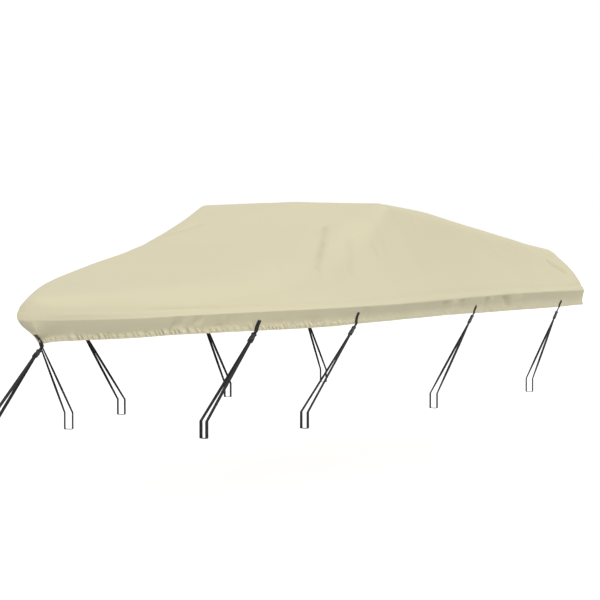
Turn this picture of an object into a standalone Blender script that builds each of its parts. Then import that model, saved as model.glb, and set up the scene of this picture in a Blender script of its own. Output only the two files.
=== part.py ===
"""Fitted cover of coated cloth: one hollow, draped sheet with a turned-under skirt, and nine tie-downs.

All lengths are metres. The shape is laid out with `aft` measured back from the pointed front end,
`side` measured to starboard and `height` measured up from level ground. The finished pieces are then
shifted so that the origin lies on the underside of the cloth, in the middle of its highest line.
"""

import math

import bmesh
import bpy
from mathutils import Matrix, Vector

# The cloth
CLOTH_THICKNESS = 0.002
RIDGE_AFT = 2.90            # the highest line, where the cloth bends from its front slope to its back slope
NOSE_CENTRE = 0.31          # the front end is a round nose in plan, about this place
NOSE_RADIUS = 0.20
NOSE_JOIN = 0.18            # behind this place the plan follows the sections
BACK_AFT = 5.455            # back end of the cover
BACK_CORNER = 0.030         # how far the two back corners are cut across, seen from above
BACK_RAKE = 0.025           # how far forward of its foot the top of the back end lies
BACK_RAKE_START = 5.00      # where the sections start to lean forward for it
BACK_BULGE = 0.012          # how far the back end is rounded out between its top and its foot
BACK_ROWS = 6

# Sections of the cloth from the front end to the back end. `half_width` and `rim` place the crease above
# the skirt. `shoulder` is the share of that half width at which side and top bend into each other,
# `rise` the height of this bend above the crease, `crown` how much higher the middle of the top lies,
# `rounding` the length over which the bend is rounded on each side of it, and `sag` how far the side
# hangs in between its edges. Forward of the second row the round nose takes over.
SECTION_COLUMNS = ("aft", "half_width", "rim", "shoulder", "rise", "crown", "rounding", "sag")
FRONT_SECTIONS = (
    (0.00, 0.004, 1.118, 0.80, 0.095, 0.010, 0.07, 0.000),
    (0.18, 0.152, 1.118, 0.80, 0.108, 0.014, 0.09, 0.000),
    (0.45, 0.372, 1.119, 0.81, 0.137, 0.020, 0.11, 0.000),
    (0.75, 0.612, 1.132, 0.80, 0.152, 0.024, 0.13, 0.002),
    (1.05, 0.828, 1.143, 0.77, 0.180, 0.023, 0.15, 0.004),
    (1.40, 0.985, 1.149, 0.73, 0.241, 0.015, 0.18, 0.006),
    (1.90, 1.100, 1.153, 0.67, 0.333, 0.010, 0.18, 0.008),
    (2.40, 1.148, 1.156, 0.645, 0.460, 0.014, 0.14, 0.010),
    (2.70, 1.150, 1.158, 0.643, 0.557, 0.015, 0.10, 0.010),
    (2.90, 1.150, 1.160, 0.639, 0.635, 0.017, 0.05, 0.008),
)
BACK_SECTIONS = (
    FRONT_SECTIONS[-1],
    (3.40, 1.150, 1.165, 0.661, 0.598, -0.005, 0.09, 0.012),
    (4.00, 1.150, 1.170, 0.687, 0.514, -0.012, 0.10, 0.014),
    (4.70, 1.150, 1.168, 0.713, 0.420, -0.013, 0.10, 0.012),
    (5.15, 1.150, 1.164, 0.735, 0.359, -0.012, 0.09, 0.000),
    (5.43, 1.150, 1.160, 0.765, 0.325, -0.012, 0.08, -0.022),
)
BEND_REACH_ON_TOP = 1.3     # the rounding of the bend reaches this much further over the top
BEND_LIMIT = 0.92           # and at most over this share of the side or top
SIDE_STEPS = 5              # steps up each side, round each bend and over each half of the top
BEND_STEPS = 4
TOP_STEPS = 4

# Where the sections lie: behind the tip of the nose, then at even steps, and two just beside the ridge
NOSE_STEPS = (0.004, 0.018, 0.045, 0.085, 0.140, 0.200, 0.270)
EVEN_START = 0.45
EVEN_STEP = 0.10
RIDGE_STEP = 0.05

# Troughs (negative) and ridges (positive) pulled into the cloth, each along a line from `aft`, `up` to
# `aft_end`, `up_end`, where `up` is the way up the section from the crease. Side -1 is port, 1 starboard.
# The columns are side, aft, up, aft_end, up_end, half_width and height.
FOLDS = (
    (-1, 2.46, 0.86, 2.10, 0.52, 0.070, -0.012),
    (-1, 2.10, 0.52, 1.83, 0.30, 0.075, -0.014),
    (-1, 2.22, 0.60, 1.95, 0.34, 0.060, 0.007),
    (-1, 2.36, 0.52, 2.08, 0.30, 0.070, -0.005),
    (-1, 0.35, 0.10, 0.95, 0.14, 0.060, -0.004),
    (-1, 5.05, 0.44, 5.34, 0.30, 0.060, -0.008),
    (1, 2.50, 0.84, 1.98, 0.36, 0.080, -0.013),
    (1, 3.60, 0.62, 4.30, 0.30, 0.110, -0.008),
    (1, 0.40, 0.10, 1.10, 0.16, 0.070, -0.005),
    (1, 4.95, 0.46, 5.32, 0.24, 0.070, -0.009),
)

# The skirt below the crease: how far it drops and how far its hem is drawn in, along the cover
SKIRT_COLUMNS = ("aft", "port_drop", "starboard_drop", "inset")
SKIRT = (
    (0.11, 0.133, 0.133, 0.098),
    (0.14, 0.125, 0.116, 0.106),
    (0.25, 0.120, 0.090, 0.108),
    (0.45, 0.115, 0.084, 0.104),
    (0.75, 0.109, 0.096, 0.082),
    (1.10, 0.109, 0.109, 0.050),
    (1.50, 0.110, 0.110, 0.036),
    (1.90, 0.103, 0.103, 0.030),
    (2.40, 0.099, 0.099, 0.028),
    (3.00, 0.101, 0.101, 0.028),
    (3.90, 0.116, 0.116, 0.028),
    (4.80, 0.119, 0.119, 0.028),
    (5.44, 0.108, 0.108, 0.018),
)
# Its profile, as shares of that drop and inset
SKIRT_PROFILE = ((0.14, 0.05), (0.33, 0.28), (0.55, 0.57), (0.78, 0.85), (1.00, 1.00))
SCALLOP_HEIGHT = 0.006      # broad waves in the hem between the tie-downs
SCALLOP_LENGTHS = (0.47, 0.31)
SCALLOP_FLAT = 0.02         # half the flat stretch of hem under each tie-down
SCALLOP_FADE = 0.10         # length over which the waves come in beside it
SCALLOP_NOSE_FADE = 0.50    # and behind the front end

# The tie-downs: 25 mm webbing, sewn on the skirt, with a side release buckle and a loop below it
WEB_WIDTH = 0.025
WEB_THICKNESS = 0.0018
PIECE_GAP = 0.0005          # between pieces that touch on the real cover
WEB_TOP_RING = 2            # the sewn end starts at this point of the skirt's profile
FRONT_TOP_RING = 4          # and the one at the front end at this point
HEM_CLEAR = 0.003           # how far the webbing runs straight on past the hem
STATION_MARGIN = 0.017      # half the flat stretch of cloth that a sewn end lies on
LOOP_BOX_WIDTH = 0.050      # clear inside of each loop's square foot
LOOP_BOX_HEIGHT = 0.100
LOOP_FOOT_HEIGHT = 0.400    # height of the underside of that clear space
LOOP_CORNER = 0.005         # inner radius of the webbing at the foot's corners
RUN_SPACING = 0.0032        # between the loop's two runs where they meet the buckle

# The columns are number, aft, port_foot, starboard_foot and buckle_below_hem. A foot is aft and side.
SIDE_TIES = (
    (1, 1.115, (1.085, 0.495), (1.085, 0.495), 0.014),
    (2, 1.880, (1.855, 0.726), (1.975, 0.748), 0.016),
    (3, 3.452, (3.420, 0.840), (3.420, 0.840), 0.012),
    (4, 4.968, (4.945, 0.900), (4.945, 0.900), 0.034),
)
FOOT_YAW = 0.29             # radians by which the front pair of feet is turned in plan, less further aft

FRONT_TURN = ((0.006, -0.010), (0.002, -0.022))     # how it comes off the hem: aft and height from there
FRONT_AIM = (-0.14, 0.70)       # aft and height of a place that the front strap passes through
FRONT_FOOT = (-0.215, 0.585)    # where its loop's round foot has its middle
FRONT_TAB_LENGTH = 0.020
FRONT_LOOP_RADIUS = 0.022
FRONT_LOOP_STEPS = 8

# The buckle
BUCKLE_WIDTH = 0.034
BUCKLE_THICKNESS = 0.011
SOCKET_LENGTH = 0.040
PLUG_LENGTH = 0.022
BUCKLE_WALL = 0.0022
BUCKLE_END_CUT = 0.0035         # how far its two ends are cut across at their sides
BUCKLE_END_TAPER = 0.0014       # and thinned
BUCKLE_EDGE = 0.0015            # the cut along its long edges
HOLE_EDGE = 0.0010              # and along the edges of its hole
TONGUE_LENGTH = 0.026
TONGUE_ROOM = 0.0016            # between the tongue and the hole's walls
TONGUE_END_ROOM = 0.0020
TONGUE_POINT = (0.7, 0.8)       # from this share of its length the tongue narrows to this share of its width

RIDGE = dict(zip(SECTION_COLUMNS, FRONT_SECTIONS[-1]))
ORIGIN = Vector((RIDGE_AFT, 0.0, RIDGE["rim"] + RIDGE["rise"] + RIDGE["crown"] - CLOTH_THICKNESS))


# Values along the cover

def knot_slopes(places, values):
    """Slopes for a smooth curve through a column of values that never overshoots them."""
    steps = [b - a for a, b in zip(places, places[1:])]
    rises = [(b - a) / step for a, b, step in zip(values, values[1:], steps)]
    slopes = [rises[0]]
    for before, after, left, right in zip(rises, rises[1:], steps, steps[1:]):
        if before * after <= 0.0:
            slopes.append(0.0)
            continue
        wide_left = left + 2.0 * right
        wide_right = 2.0 * left + right
        slopes.append((wide_left + wide_right) / (wide_left / before + wide_right / after))
    return slopes + [rises[-1]]


def value_at(rows, column, place):
    """Value of a table's column at a place between its rows, where the first column is the place."""
    places = [row[0] for row in rows]
    values = [row[column] for row in rows]
    place = min(max(place, places[0]), places[-1])
    index = max(i for i, start in enumerate(places[:-1]) if start <= place)
    slopes = knot_slopes(places, values)
    step = places[index + 1] - places[index]
    t = (place - places[index]) / step
    return (
        (2 * t**3 - 3 * t**2 + 1) * values[index]
        + (t**3 - 2 * t**2 + t) * step * slopes[index]
        + (3 * t**2 - 2 * t**3) * values[index + 1]
        + (t**3 - t**2) * step * slopes[index + 1]
    )


def section_value(name, aft):
    rows = FRONT_SECTIONS if aft <= RIDGE_AFT else BACK_SECTIONS
    return value_at(rows, SECTION_COLUMNS.index(name), aft)


def nose_share(aft):
    """1 behind the nose, and less towards its tip, where the width and the rise run out."""
    if aft >= NOSE_JOIN:
        return 1.0
    round_width = math.sqrt(max(NOSE_RADIUS**2 - (NOSE_CENTRE - aft) ** 2, 0.0))
    return min(round_width / section_value("half_width", aft), 1.0)


def half_width(aft):
    return section_value("half_width", aft) * nose_share(aft)


def skirt_value(name, aft):
    return value_at(SKIRT, SKIRT_COLUMNS.index(name), aft)


def smooth_step(t):
    t = min(max(t, 0.0), 1.0)
    return t * t * (3.0 - 2.0 * t)


# The cloth above the crease

def half_section(aft):
    """Points (half width, height) from the crease over the bend to the middle of the top."""
    wide = half_width(aft)
    rim = section_value("rim", aft)
    rise = section_value("rise", aft) * nose_share(aft)
    foot = Vector((wide, rim))
    bend = Vector((wide * section_value("shoulder", aft), rim + rise))
    crown = Vector((0.0, bend.y + section_value("crown", aft) * nose_share(aft)))
    rounding = section_value("rounding", aft)
    side = foot - bend
    top = crown - bend
    side_start = bend + side * min(rounding / side.length, BEND_LIMIT)
    top_end = bend + top * min(BEND_REACH_ON_TOP * rounding / top.length, BEND_LIMIT)
    inward = Vector((-abs(side.y), -abs(side.x))).normalized()
    sag = section_value("sag", aft)
    points = []
    for step in range(SIDE_STEPS):
        t = step / SIDE_STEPS
        points.append(foot.lerp(side_start, t) + inward * sag * math.sin(math.pi * t))
    for step in range(BEND_STEPS):
        t = step / BEND_STEPS
        points.append(side_start * (1 - t) ** 2 + bend * 2 * t * (1 - t) + top_end * t**2)
    for step in range(TOP_STEPS + 1):
        points.append(top_end.lerp(crown, step / TOP_STEPS))
    return points


def fold_height(side, aft, up):
    """Height of the folds at a place on one side of the cover."""
    height = 0.0
    for fold_side, aft_a, up_a, aft_b, up_b, half_width, fold in FOLDS:
        if fold_side != side:
            continue
        along = Vector((aft_b - aft_a, up_b - up_a))
        place = Vector((aft - aft_a, up - up_a))
        t = min(max(place.dot(along) / along.length_squared, 0.0), 1.0)
        distance = (place - along * t).length
        height += fold * math.exp(-((distance / half_width) ** 2))
    return height


def folded_half(side, aft):
    """One side of a section, with its folds, as points in space from the crease to the middle."""
    flat = half_section(aft)
    rim = flat[0].y
    tall = section_value("rise", aft)
    lean = BACK_RAKE * smooth_step((aft - BACK_RAKE_START) / (BACK_AFT - BACK_CORNER - BACK_RAKE_START))
    points = []
    up = 0.0
    for index, point in enumerate(flat):
        before = flat[max(index - 1, 0)]
        after = flat[min(index + 1, len(flat) - 1)]
        if index:
            up += (point - before).length
        along = (after - before).normalized()
        outward = Vector((along.y, -along.x))
        fold = fold_height(side, aft, up) if 0 < index < len(flat) - 1 else 0.0
        place = point + outward * fold
        points.append(Vector((aft - lean * (place.y - rim) / tall, side * place.x, place.y)))
    return points


def full_section(aft):
    """A whole section from the port crease to the starboard crease."""
    port = folded_half(-1, aft)
    starboard = folded_half(1, aft)
    return port + starboard[-2::-1]


def stations():
    """Places of the sections, closer at the front end, with a flat pair at each tie-down."""
    tip = NOSE_CENTRE - NOSE_RADIUS
    last = BACK_AFT - BACK_CORNER
    steps = range(round((last - EVEN_START) / EVEN_STEP))
    places = [EVEN_START + EVEN_STEP * step for step in steps]
    clear_of_ties = 2.6 * STATION_MARGIN
    places = [place for place in places if all(abs(place - tie[1]) > clear_of_ties for tie in SIDE_TIES)]
    places = [place for place in places if abs(place - RIDGE_AFT) > 1.2 * RIDGE_STEP]
    places += [tip, *[tip + step for step in NOSE_STEPS], last]
    places += [RIDGE_AFT - RIDGE_STEP, RIDGE_AFT, RIDGE_AFT + RIDGE_STEP]
    places += [tie[1] + margin for tie in SIDE_TIES for margin in (-STATION_MARGIN, STATION_MARGIN)]
    return sorted(places)


def back_rows(last_section):
    """Rows from the top edge of the back end down to its crease."""
    widest = half_width(BACK_AFT - BACK_CORNER)
    rim = section_value("rim", BACK_AFT - BACK_CORNER)
    rows = []
    for row in range(1, BACK_ROWS + 1):
        t = row / BACK_ROWS
        points = []
        for index, top in enumerate(last_section):
            if index in (0, len(last_section) - 1):
                points.append(top.copy())
                continue
            foot = Vector((BACK_AFT, top.y * (widest - BACK_CORNER) / widest, rim))
            bulge = BACK_BULGE * math.sin(math.pi * t)
            points.append(top.lerp(foot, t) + Vector((bulge, 0.0, 0.0)))
        rows.append(points)
    return rows


# The skirt

def side_outward(aft, side):
    """Level direction straight out from the crease on one side."""
    reach = 0.004
    slope = (half_width(aft + reach) - half_width(aft - reach)) / (2 * reach)
    return Vector((-slope, side, 0.0)).normalized()


def skirt_point(crease, outward, drop_share, inset_share):
    drop = skirt_value("port_drop" if crease.y <= 0.0 else "starboard_drop", crease.x) * drop_share
    inset = skirt_value("inset", crease.x) * inset_share
    return crease - outward * inset - Vector((0.0, 0.0, drop))


def scallop(place, aft):
    """Broad waves of the hem, flat under each tie-down."""
    clear = min(abs(aft - tie[1]) for tie in SIDE_TIES)
    fade = smooth_step((clear - SCALLOP_FLAT) / SCALLOP_FADE) * smooth_step(aft / SCALLOP_NOSE_FADE)
    wave = sum(math.sin(2.0 * math.pi * place / length) for length in SCALLOP_LENGTHS)
    return SCALLOP_HEIGHT * fade * wave / len(SCALLOP_LENGTHS)


def skirt_rings(crease, outward):
    """Rings of points below the crease, from just under it to the hem."""
    rings = []
    for drop_share, inset_share in SKIRT_PROFILE:
        ring = []
        travelled = 0.0
        for index, point in enumerate(crease):
            if index:
                travelled += (point - crease[index - 1]).length
            wave = outward[index] * scallop(travelled, point.x) * drop_share
            ring.append(skirt_point(point, outward[index], drop_share, inset_share) + wave)
        rings.append(ring)
    return rings


# Meshes and materials

def make_material(name, colour, roughness):
    material = bpy.data.materials.new(name)
    material.use_nodes = True
    shader = material.node_tree.nodes["Principled BSDF"]
    shader.inputs["Base Color"].default_value = (*colour, 1.0)
    shader.inputs["Roughness"].default_value = roughness
    shader.inputs["Metallic"].default_value = 0.0
    return material


def make_object(name, mesh_data, material, smooth=False):
    """An object from a bmesh laid out in aft, side and height, shifted to the part's own origin."""
    bmesh.ops.translate(mesh_data, vec=-ORIGIN, verts=mesh_data.verts)
    bmesh.ops.recalc_face_normals(mesh_data, faces=mesh_data.faces)
    mesh = bpy.data.meshes.new(name)
    mesh_data.to_mesh(mesh)
    mesh_data.free()
    mesh.materials.append(material)
    if smooth:
        mesh.shade_smooth()
    thing = bpy.data.objects.new(name, mesh)
    bpy.context.scene.collection.objects.link(thing)
    return thing


def bridge(mesh_data, row, next_row, closed=False):
    """Faces between two rows of points, turned so that a sheet laid front to back faces up and out."""
    count = len(row)
    for index in range(count if closed else count - 1):
        after = (index + 1) % count
        corners = [row[index], row[after], next_row[after], next_row[index]]
        distinct = [vert for place, vert in enumerate(corners) if vert not in corners[:place]]
        if len(distinct) > 2:
            mesh_data.faces.new(distinct)


def make_cloth(material):
    """The whole cover as one sheet, thickened inwards."""
    sheet = bmesh.new()
    tip_aft, *places = stations()
    sections = [full_section(aft) for aft in places]
    tip = sheet.verts.new((tip_aft, 0.0, section_value("rim", tip_aft)))
    rows = [[tip] * len(sections[0])]
    for section in sections:
        rows.append([sheet.verts.new(point) for point in section])
    corners = (rows[-1][0], rows[-1][-1])
    for points in back_rows(sections[-1]):
        inner = [sheet.verts.new(point) for point in points[1:-1]]
        rows.append([corners[0], *inner, corners[1]])
    for row, next_row in zip(rows, rows[1:]):
        bridge(sheet, row, next_row)
    side_rows = rows[1:len(places) + 1]
    port = [row[0] for row in side_rows]
    starboard = [row[-1] for row in side_rows]
    back = rows[-1][1:-1]
    above = [tip, *port, *back, *reversed(starboard)]
    forward = Vector((-1.0, 0.0, 0.0))
    port_out = [side_outward(aft, -1) for aft in places[:-1]] + [Vector((1.0, -1.0, 0.0)).normalized()]
    starboard_out = [Vector((out.x, -out.y, 0.0)) for out in port_out]
    outward = [forward, *port_out, *[-forward] * len(back), *reversed(starboard_out)]
    for ring in skirt_rings([vert.co.copy() for vert in above], outward):
        below = [sheet.verts.new(point) for point in ring]
        bridge(sheet, above, below, closed=True)
        above = below
    cloth = make_object("cover_cloth", sheet, material, smooth=True)
    thickness = cloth.modifiers.new("cloth thickness", "SOLIDIFY")
    thickness.thickness = CLOTH_THICKNESS
    thickness.offset = -1.0
    thickness.use_even_offset = True
    return cloth


def make_band(name, path, widths, material):
    """Flat webbing that follows a path, with its width along the given direction at each point."""
    band = bmesh.new()
    rings = []
    for index, point in enumerate(path):
        along = (path[min(index + 1, len(path) - 1)] - path[max(index - 1, 0)]).normalized()
        across = (widths[index] - along * widths[index].dot(along)).normalized()
        face = along.cross(across)
        turn = 1.0
        if 0 < index < len(path) - 1:
            turn = max(along.dot((path[index + 1] - point).normalized()), 0.7)
        half_across = across * WEB_WIDTH / 2
        half_face = face * WEB_THICKNESS / 2 / turn
        corners = (half_across + half_face, half_across - half_face)
        ring = [band.verts.new(point + sign * corner) for sign in (1, -1) for corner in corners]
        rings.append(ring)
    for ring, next_ring in zip(rings, rings[1:]):
        bridge(band, ring, next_ring, closed=True)
    band.faces.new(rings[0])
    band.faces.new(rings[-1])
    return make_object(name, band, material)


# The buckle, laid out along its own -Z from its upper end, with its width along X

def make_socket(name, pose, material):
    """Upper half of the buckle: a box with cut corners, hollow from below to take the tongue."""
    half = BUCKLE_WIDTH / 2
    deep = BUCKLE_THICKNESS / 2
    socket = bmesh.new()

    def ring(height, x, y, corner):
        places = ((x, -y + corner), (x, y - corner), (x - corner, y), (-x + corner, y),
                  (-x, y - corner), (-x, -y + corner), (-x + corner, -y), (x - corner, -y))
        return [socket.verts.new((px, py, height)) for px, py in places]

    hole_x = half - BUCKLE_WALL
    hole_y = deep - BUCKLE_WALL
    hole_end = -SOCKET_LENGTH + TONGUE_LENGTH + TONGUE_END_ROOM
    rings = [
        ring(0.0, half - BUCKLE_END_CUT, deep - BUCKLE_END_TAPER, HOLE_EDGE),
        ring(-BUCKLE_END_CUT, half, deep, BUCKLE_EDGE),
        ring(-SOCKET_LENGTH, half, deep, BUCKLE_EDGE),
        ring(-SOCKET_LENGTH, hole_x, hole_y, HOLE_EDGE),
        ring(hole_end, hole_x, hole_y, HOLE_EDGE),
    ]
    for above, below in zip(rings, rings[1:]):
        bridge(socket, above, below, closed=True)
    socket.faces.new(rings[0])
    socket.faces.new(rings[-1])
    socket.transform(pose)
    return make_object(name, socket, material)


def make_plug(name, pose, material):
    """Lower half of the buckle: a bar with cut corners and the tongue that fills the socket."""
    half = BUCKLE_WIDTH / 2
    deep = BUCKLE_THICKNESS / 2
    top = -SOCKET_LENGTH - PIECE_GAP
    foot = top - PLUG_LENGTH
    tongue_half = half - BUCKLE_WALL - TONGUE_ROOM
    tongue_deep = deep - BUCKLE_WALL - TONGUE_ROOM
    narrow_from, narrow_to = TONGUE_POINT
    plug = bmesh.new()

    def ring(height, x, y):
        return [plug.verts.new((px, py, height)) for px, py in ((x, -y), (x, y), (-x, y), (-x, -y))]

    rings = [
        ring(top + TONGUE_LENGTH, tongue_half * narrow_to, tongue_deep),
        ring(top + TONGUE_LENGTH * narrow_from, tongue_half, tongue_deep),
        ring(top, tongue_half, tongue_deep),
        ring(top, half, deep),
        ring(foot + BUCKLE_END_CUT, half, deep),
        ring(foot, half - BUCKLE_END_CUT, deep - BUCKLE_END_TAPER),
    ]
    for above, below in zip(rings, rings[1:]):
        bridge(plug, above, below, closed=True)
    plug.faces.new(rings[0])
    plug.faces.new(rings[-1])
    plug.transform(pose)
    return make_object(name, plug, material)


# The tie-downs

def rounded_path(corners, radius, steps=4):
    """A path through corners, each rounded to a radius, as a list of points."""
    points = [corners[0]]
    for before, corner, after in zip(corners, corners[1:], corners[2:]):
        back = (before - corner).normalized()
        forth = (after - corner).normalized()
        half_turn = (math.pi - back.angle(forth)) / 2
        reach = radius * math.tan(half_turn)
        start = corner + back * reach
        end = corner + forth * reach
        for step in range(steps + 1):
            t = step / steps
            points.append(start * (1 - t) ** 2 + corner * 2 * t * (1 - t) + end * t**2)
    return points + [corners[-1]]


def skirt_line(aft, side):
    """Outer face of the skirt at a tie-down, crease to hem: its points and the level direction at each."""
    ends = []
    for place in (aft - STATION_MARGIN, aft + STATION_MARGIN):
        crease = Vector((place, side * half_width(place), section_value("rim", place)))
        outward = side_outward(place, side)
        ends.append([crease] + [skirt_point(crease, outward, *shares) for shares in SKIRT_PROFILE])
    line = [(fore + back) / 2 for fore, back in zip(*ends)]
    acrosses = [(fore - back).normalized() * side for fore, back in zip(*ends)]
    return line, acrosses


def lie_on(line, acrosses):
    """The middle of a webbing that lies on this line, the piece gap off the cloth."""
    lift = PIECE_GAP + WEB_THICKNESS / 2
    raised = []
    for index, point in enumerate(line):
        down = (line[min(index + 1, len(line) - 1)] - line[max(index - 1, 0)]).normalized()
        raised.append(point + acrosses[index].cross(-down).normalized() * lift)
    return raised


def buckle_pose(upper_end, down, across):
    face = across.cross(-down).normalized()
    columns = (across, face, -down)
    turn = Matrix([[column[row] for column in columns] for row in range(3)]).to_4x4()
    return Matrix.Translation(upper_end) @ turn


def make_side_tie(tie, side, webbing, plastic):
    number, aft, port_foot, starboard_foot, below_hem = tie
    label = f"{'starboard' if side > 0 else 'port'}_{number}"
    foot_aft, foot_side = starboard_foot if side > 0 else port_foot
    line, acrosses = skirt_line(aft, side)
    raised = lie_on(line, acrosses)
    last_run = (raised[-1] - raised[-2]).normalized()
    hem = raised[-1] + last_run * HEM_CLEAR

    yaw = FOOT_YAW * smooth_step((3.0 - aft) / 2.2)
    foot_across = Vector((-side * math.cos(yaw), -math.sin(yaw), 0.0))
    foot_out = foot_across.cross(Vector((0.0, 0.0, 1.0)))
    foot = Vector((foot_aft, side * foot_side, LOOP_FOOT_HEIGHT))
    reach = LOOP_BOX_WIDTH / 2 + WEB_THICKNESS / 2
    rise = Vector((0.0, 0.0, LOOP_BOX_HEIGHT))
    under = Vector((0.0, 0.0, -WEB_THICKNESS / 2))
    outer_top = foot + foot_out * reach + rise
    outer_foot = foot + foot_out * reach + under
    inner_foot = foot - foot_out * reach + under
    inner_top = foot - foot_out * reach + rise

    down = ((outer_top + inner_top) / 2 - hem).normalized()
    across = (acrosses[-1] - down * acrosses[-1].dot(down)).normalized()
    buckle_top = hem + down * (below_hem + PIECE_GAP)
    tab_end = hem + down * below_hem
    on_cloth = raised[WEB_TOP_RING:]
    tab = [*on_cloth, hem, hem.lerp(tab_end, 0.5), tab_end]
    tab_widths = [*acrosses[WEB_TOP_RING:], (acrosses[-1] + across).normalized(), across, across]
    make_band(f"strap_tab_{label}", tab, tab_widths, webbing)

    pose = buckle_pose(buckle_top, down, across)
    make_socket(f"buckle_socket_{label}", pose, plastic)
    make_plug(f"buckle_plug_{label}", pose, plastic)

    face = across.cross(-down).normalized()
    plug_foot = buckle_top + down * (SOCKET_LENGTH + PLUG_LENGTH + 2 * PIECE_GAP)
    start = plug_foot + face * RUN_SPACING / 2
    end = plug_foot - face * RUN_SPACING / 2
    corners = [start, outer_top, outer_foot, inner_foot, inner_top, end]
    path = rounded_path(corners, LOOP_CORNER)
    path = [start, start.lerp(outer_top, 0.33), start.lerp(outer_top, 0.66), *path[1:-1],
            end.lerp(inner_top, 0.66), end.lerp(inner_top, 0.33), end]
    height_span = start.z - outer_top.z
    widths = []
    for point in path:
        share = smooth_step((start.z - point.z) / height_span)
        widths.append(across.lerp(foot_across, share).normalized())
    make_band(f"strap_loop_{label}", path, widths, webbing)


def make_front_tie(webbing, plastic):
    """The strap at the front end: sewn under the tip of the skirt, led forward and down to a small loop."""
    across = Vector((0.0, -1.0, 0.0))
    tip = NOSE_CENTRE - NOSE_RADIUS
    drop = skirt_value("port_drop", tip)
    inset = skirt_value("inset", tip)
    line = [Vector((tip + inset * share_in, 0.0, section_value("rim", tip) - drop * share_down))
            for share_down, share_in in ((0.0, 0.0), *SKIRT_PROFILE)]
    raised = lie_on(line, [across] * len(line))
    off_hem = [raised[-1] + Vector((aft, 0.0, height)) for aft, height in FRONT_TURN]
    down = (Vector((FRONT_AIM[0], 0.0, FRONT_AIM[1])) - off_hem[-1]).normalized()
    tab_end = off_hem[-1] + down * FRONT_TAB_LENGTH
    tab = [*raised[FRONT_TOP_RING:], *off_hem, tab_end]
    make_band("strap_tab_front", tab, [across] * len(tab), webbing)

    buckle_top = tab_end + down * PIECE_GAP
    pose = buckle_pose(buckle_top, down, across)
    make_socket("buckle_socket_front", pose, plastic)
    make_plug("buckle_plug_front", pose, plastic)

    face = across.cross(-down).normalized()
    plug_foot = buckle_top + down * (SOCKET_LENGTH + PLUG_LENGTH + 2 * PIECE_GAP)
    start = plug_foot + face * RUN_SPACING / 2
    end = plug_foot - face * RUN_SPACING / 2
    foot = Vector((FRONT_FOOT[0], 0.0, FRONT_FOOT[1]))
    turn = []
    for step in range(FRONT_LOOP_STEPS + 1):
        angle = math.pi * step / FRONT_LOOP_STEPS
        turn.append(foot + (face * math.cos(angle) + down * math.sin(angle)) * FRONT_LOOP_RADIUS)
    path = [start, start.lerp(turn[0], 0.5), *turn, end.lerp(turn[-1], 0.5), end]
    make_band("strap_loop_front", path, [across] * len(path), webbing)


def build():
    for thing in list(bpy.data.objects):
        bpy.data.objects.remove(thing, do_unlink=True)
    cloth = make_material("khaki coated polyester", (0.70, 0.66, 0.48), 0.75)
    webbing = make_material("black webbing", (0.012, 0.011, 0.012), 0.70)
    plastic = make_material("black moulded plastic", (0.015, 0.014, 0.015), 0.42)
    make_cloth(cloth)
    for side in (-1, 1):
        for tie in SIDE_TIES:
            make_side_tie(tie, side, webbing, plastic)
    make_front_tie(webbing, plastic)


build()
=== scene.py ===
"""Looks of a fitted, hollow cover of coated cloth with webbing tie-downs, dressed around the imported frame.

The cover is laid out as in the solids: `aft` runs back from a point just ahead of the tip of the front
end, `side` runs to starboard and `height` up from level ground. `placed` shifts that layout into the
frame, whose origin is on the underside of the cloth in the middle of its highest line. All lengths are
in metres.
"""

import math
import random

import bmesh
import bpy
import numpy as np
from mathutils import Matrix, Vector


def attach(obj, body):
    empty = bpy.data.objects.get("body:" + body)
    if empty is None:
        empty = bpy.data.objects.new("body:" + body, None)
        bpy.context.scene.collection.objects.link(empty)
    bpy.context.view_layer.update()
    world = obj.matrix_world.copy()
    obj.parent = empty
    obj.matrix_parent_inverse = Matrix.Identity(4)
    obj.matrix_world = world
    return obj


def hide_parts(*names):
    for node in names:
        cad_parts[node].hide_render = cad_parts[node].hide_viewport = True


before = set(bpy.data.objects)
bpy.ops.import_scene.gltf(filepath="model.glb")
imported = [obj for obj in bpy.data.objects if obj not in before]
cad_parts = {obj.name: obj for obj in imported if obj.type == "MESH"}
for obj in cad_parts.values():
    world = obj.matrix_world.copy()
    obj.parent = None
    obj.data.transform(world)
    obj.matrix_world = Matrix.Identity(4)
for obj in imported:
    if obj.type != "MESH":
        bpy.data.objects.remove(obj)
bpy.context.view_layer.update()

# Sizes of the cloth, as in the solids
CLOTH_THICKNESS = 0.002
RIDGE_AFT = 2.90
NOSE_CENTRE = 0.31
NOSE_RADIUS = 0.20
NOSE_JOIN = 0.18
NOSE_TIP = NOSE_CENTRE - NOSE_RADIUS
BACK_AFT = 5.455
BACK_CORNER = 0.030
BACK_RAKE = 0.025
BACK_RAKE_START = 5.00
BACK_BULGE = 0.012
LAST_AFT = BACK_AFT - BACK_CORNER
ON_BACK = 0.001             # a point of the crease this far behind the last section is on the back end
TINY = 1e-9                 # keeps a direction of no length from being divided by zero

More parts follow.
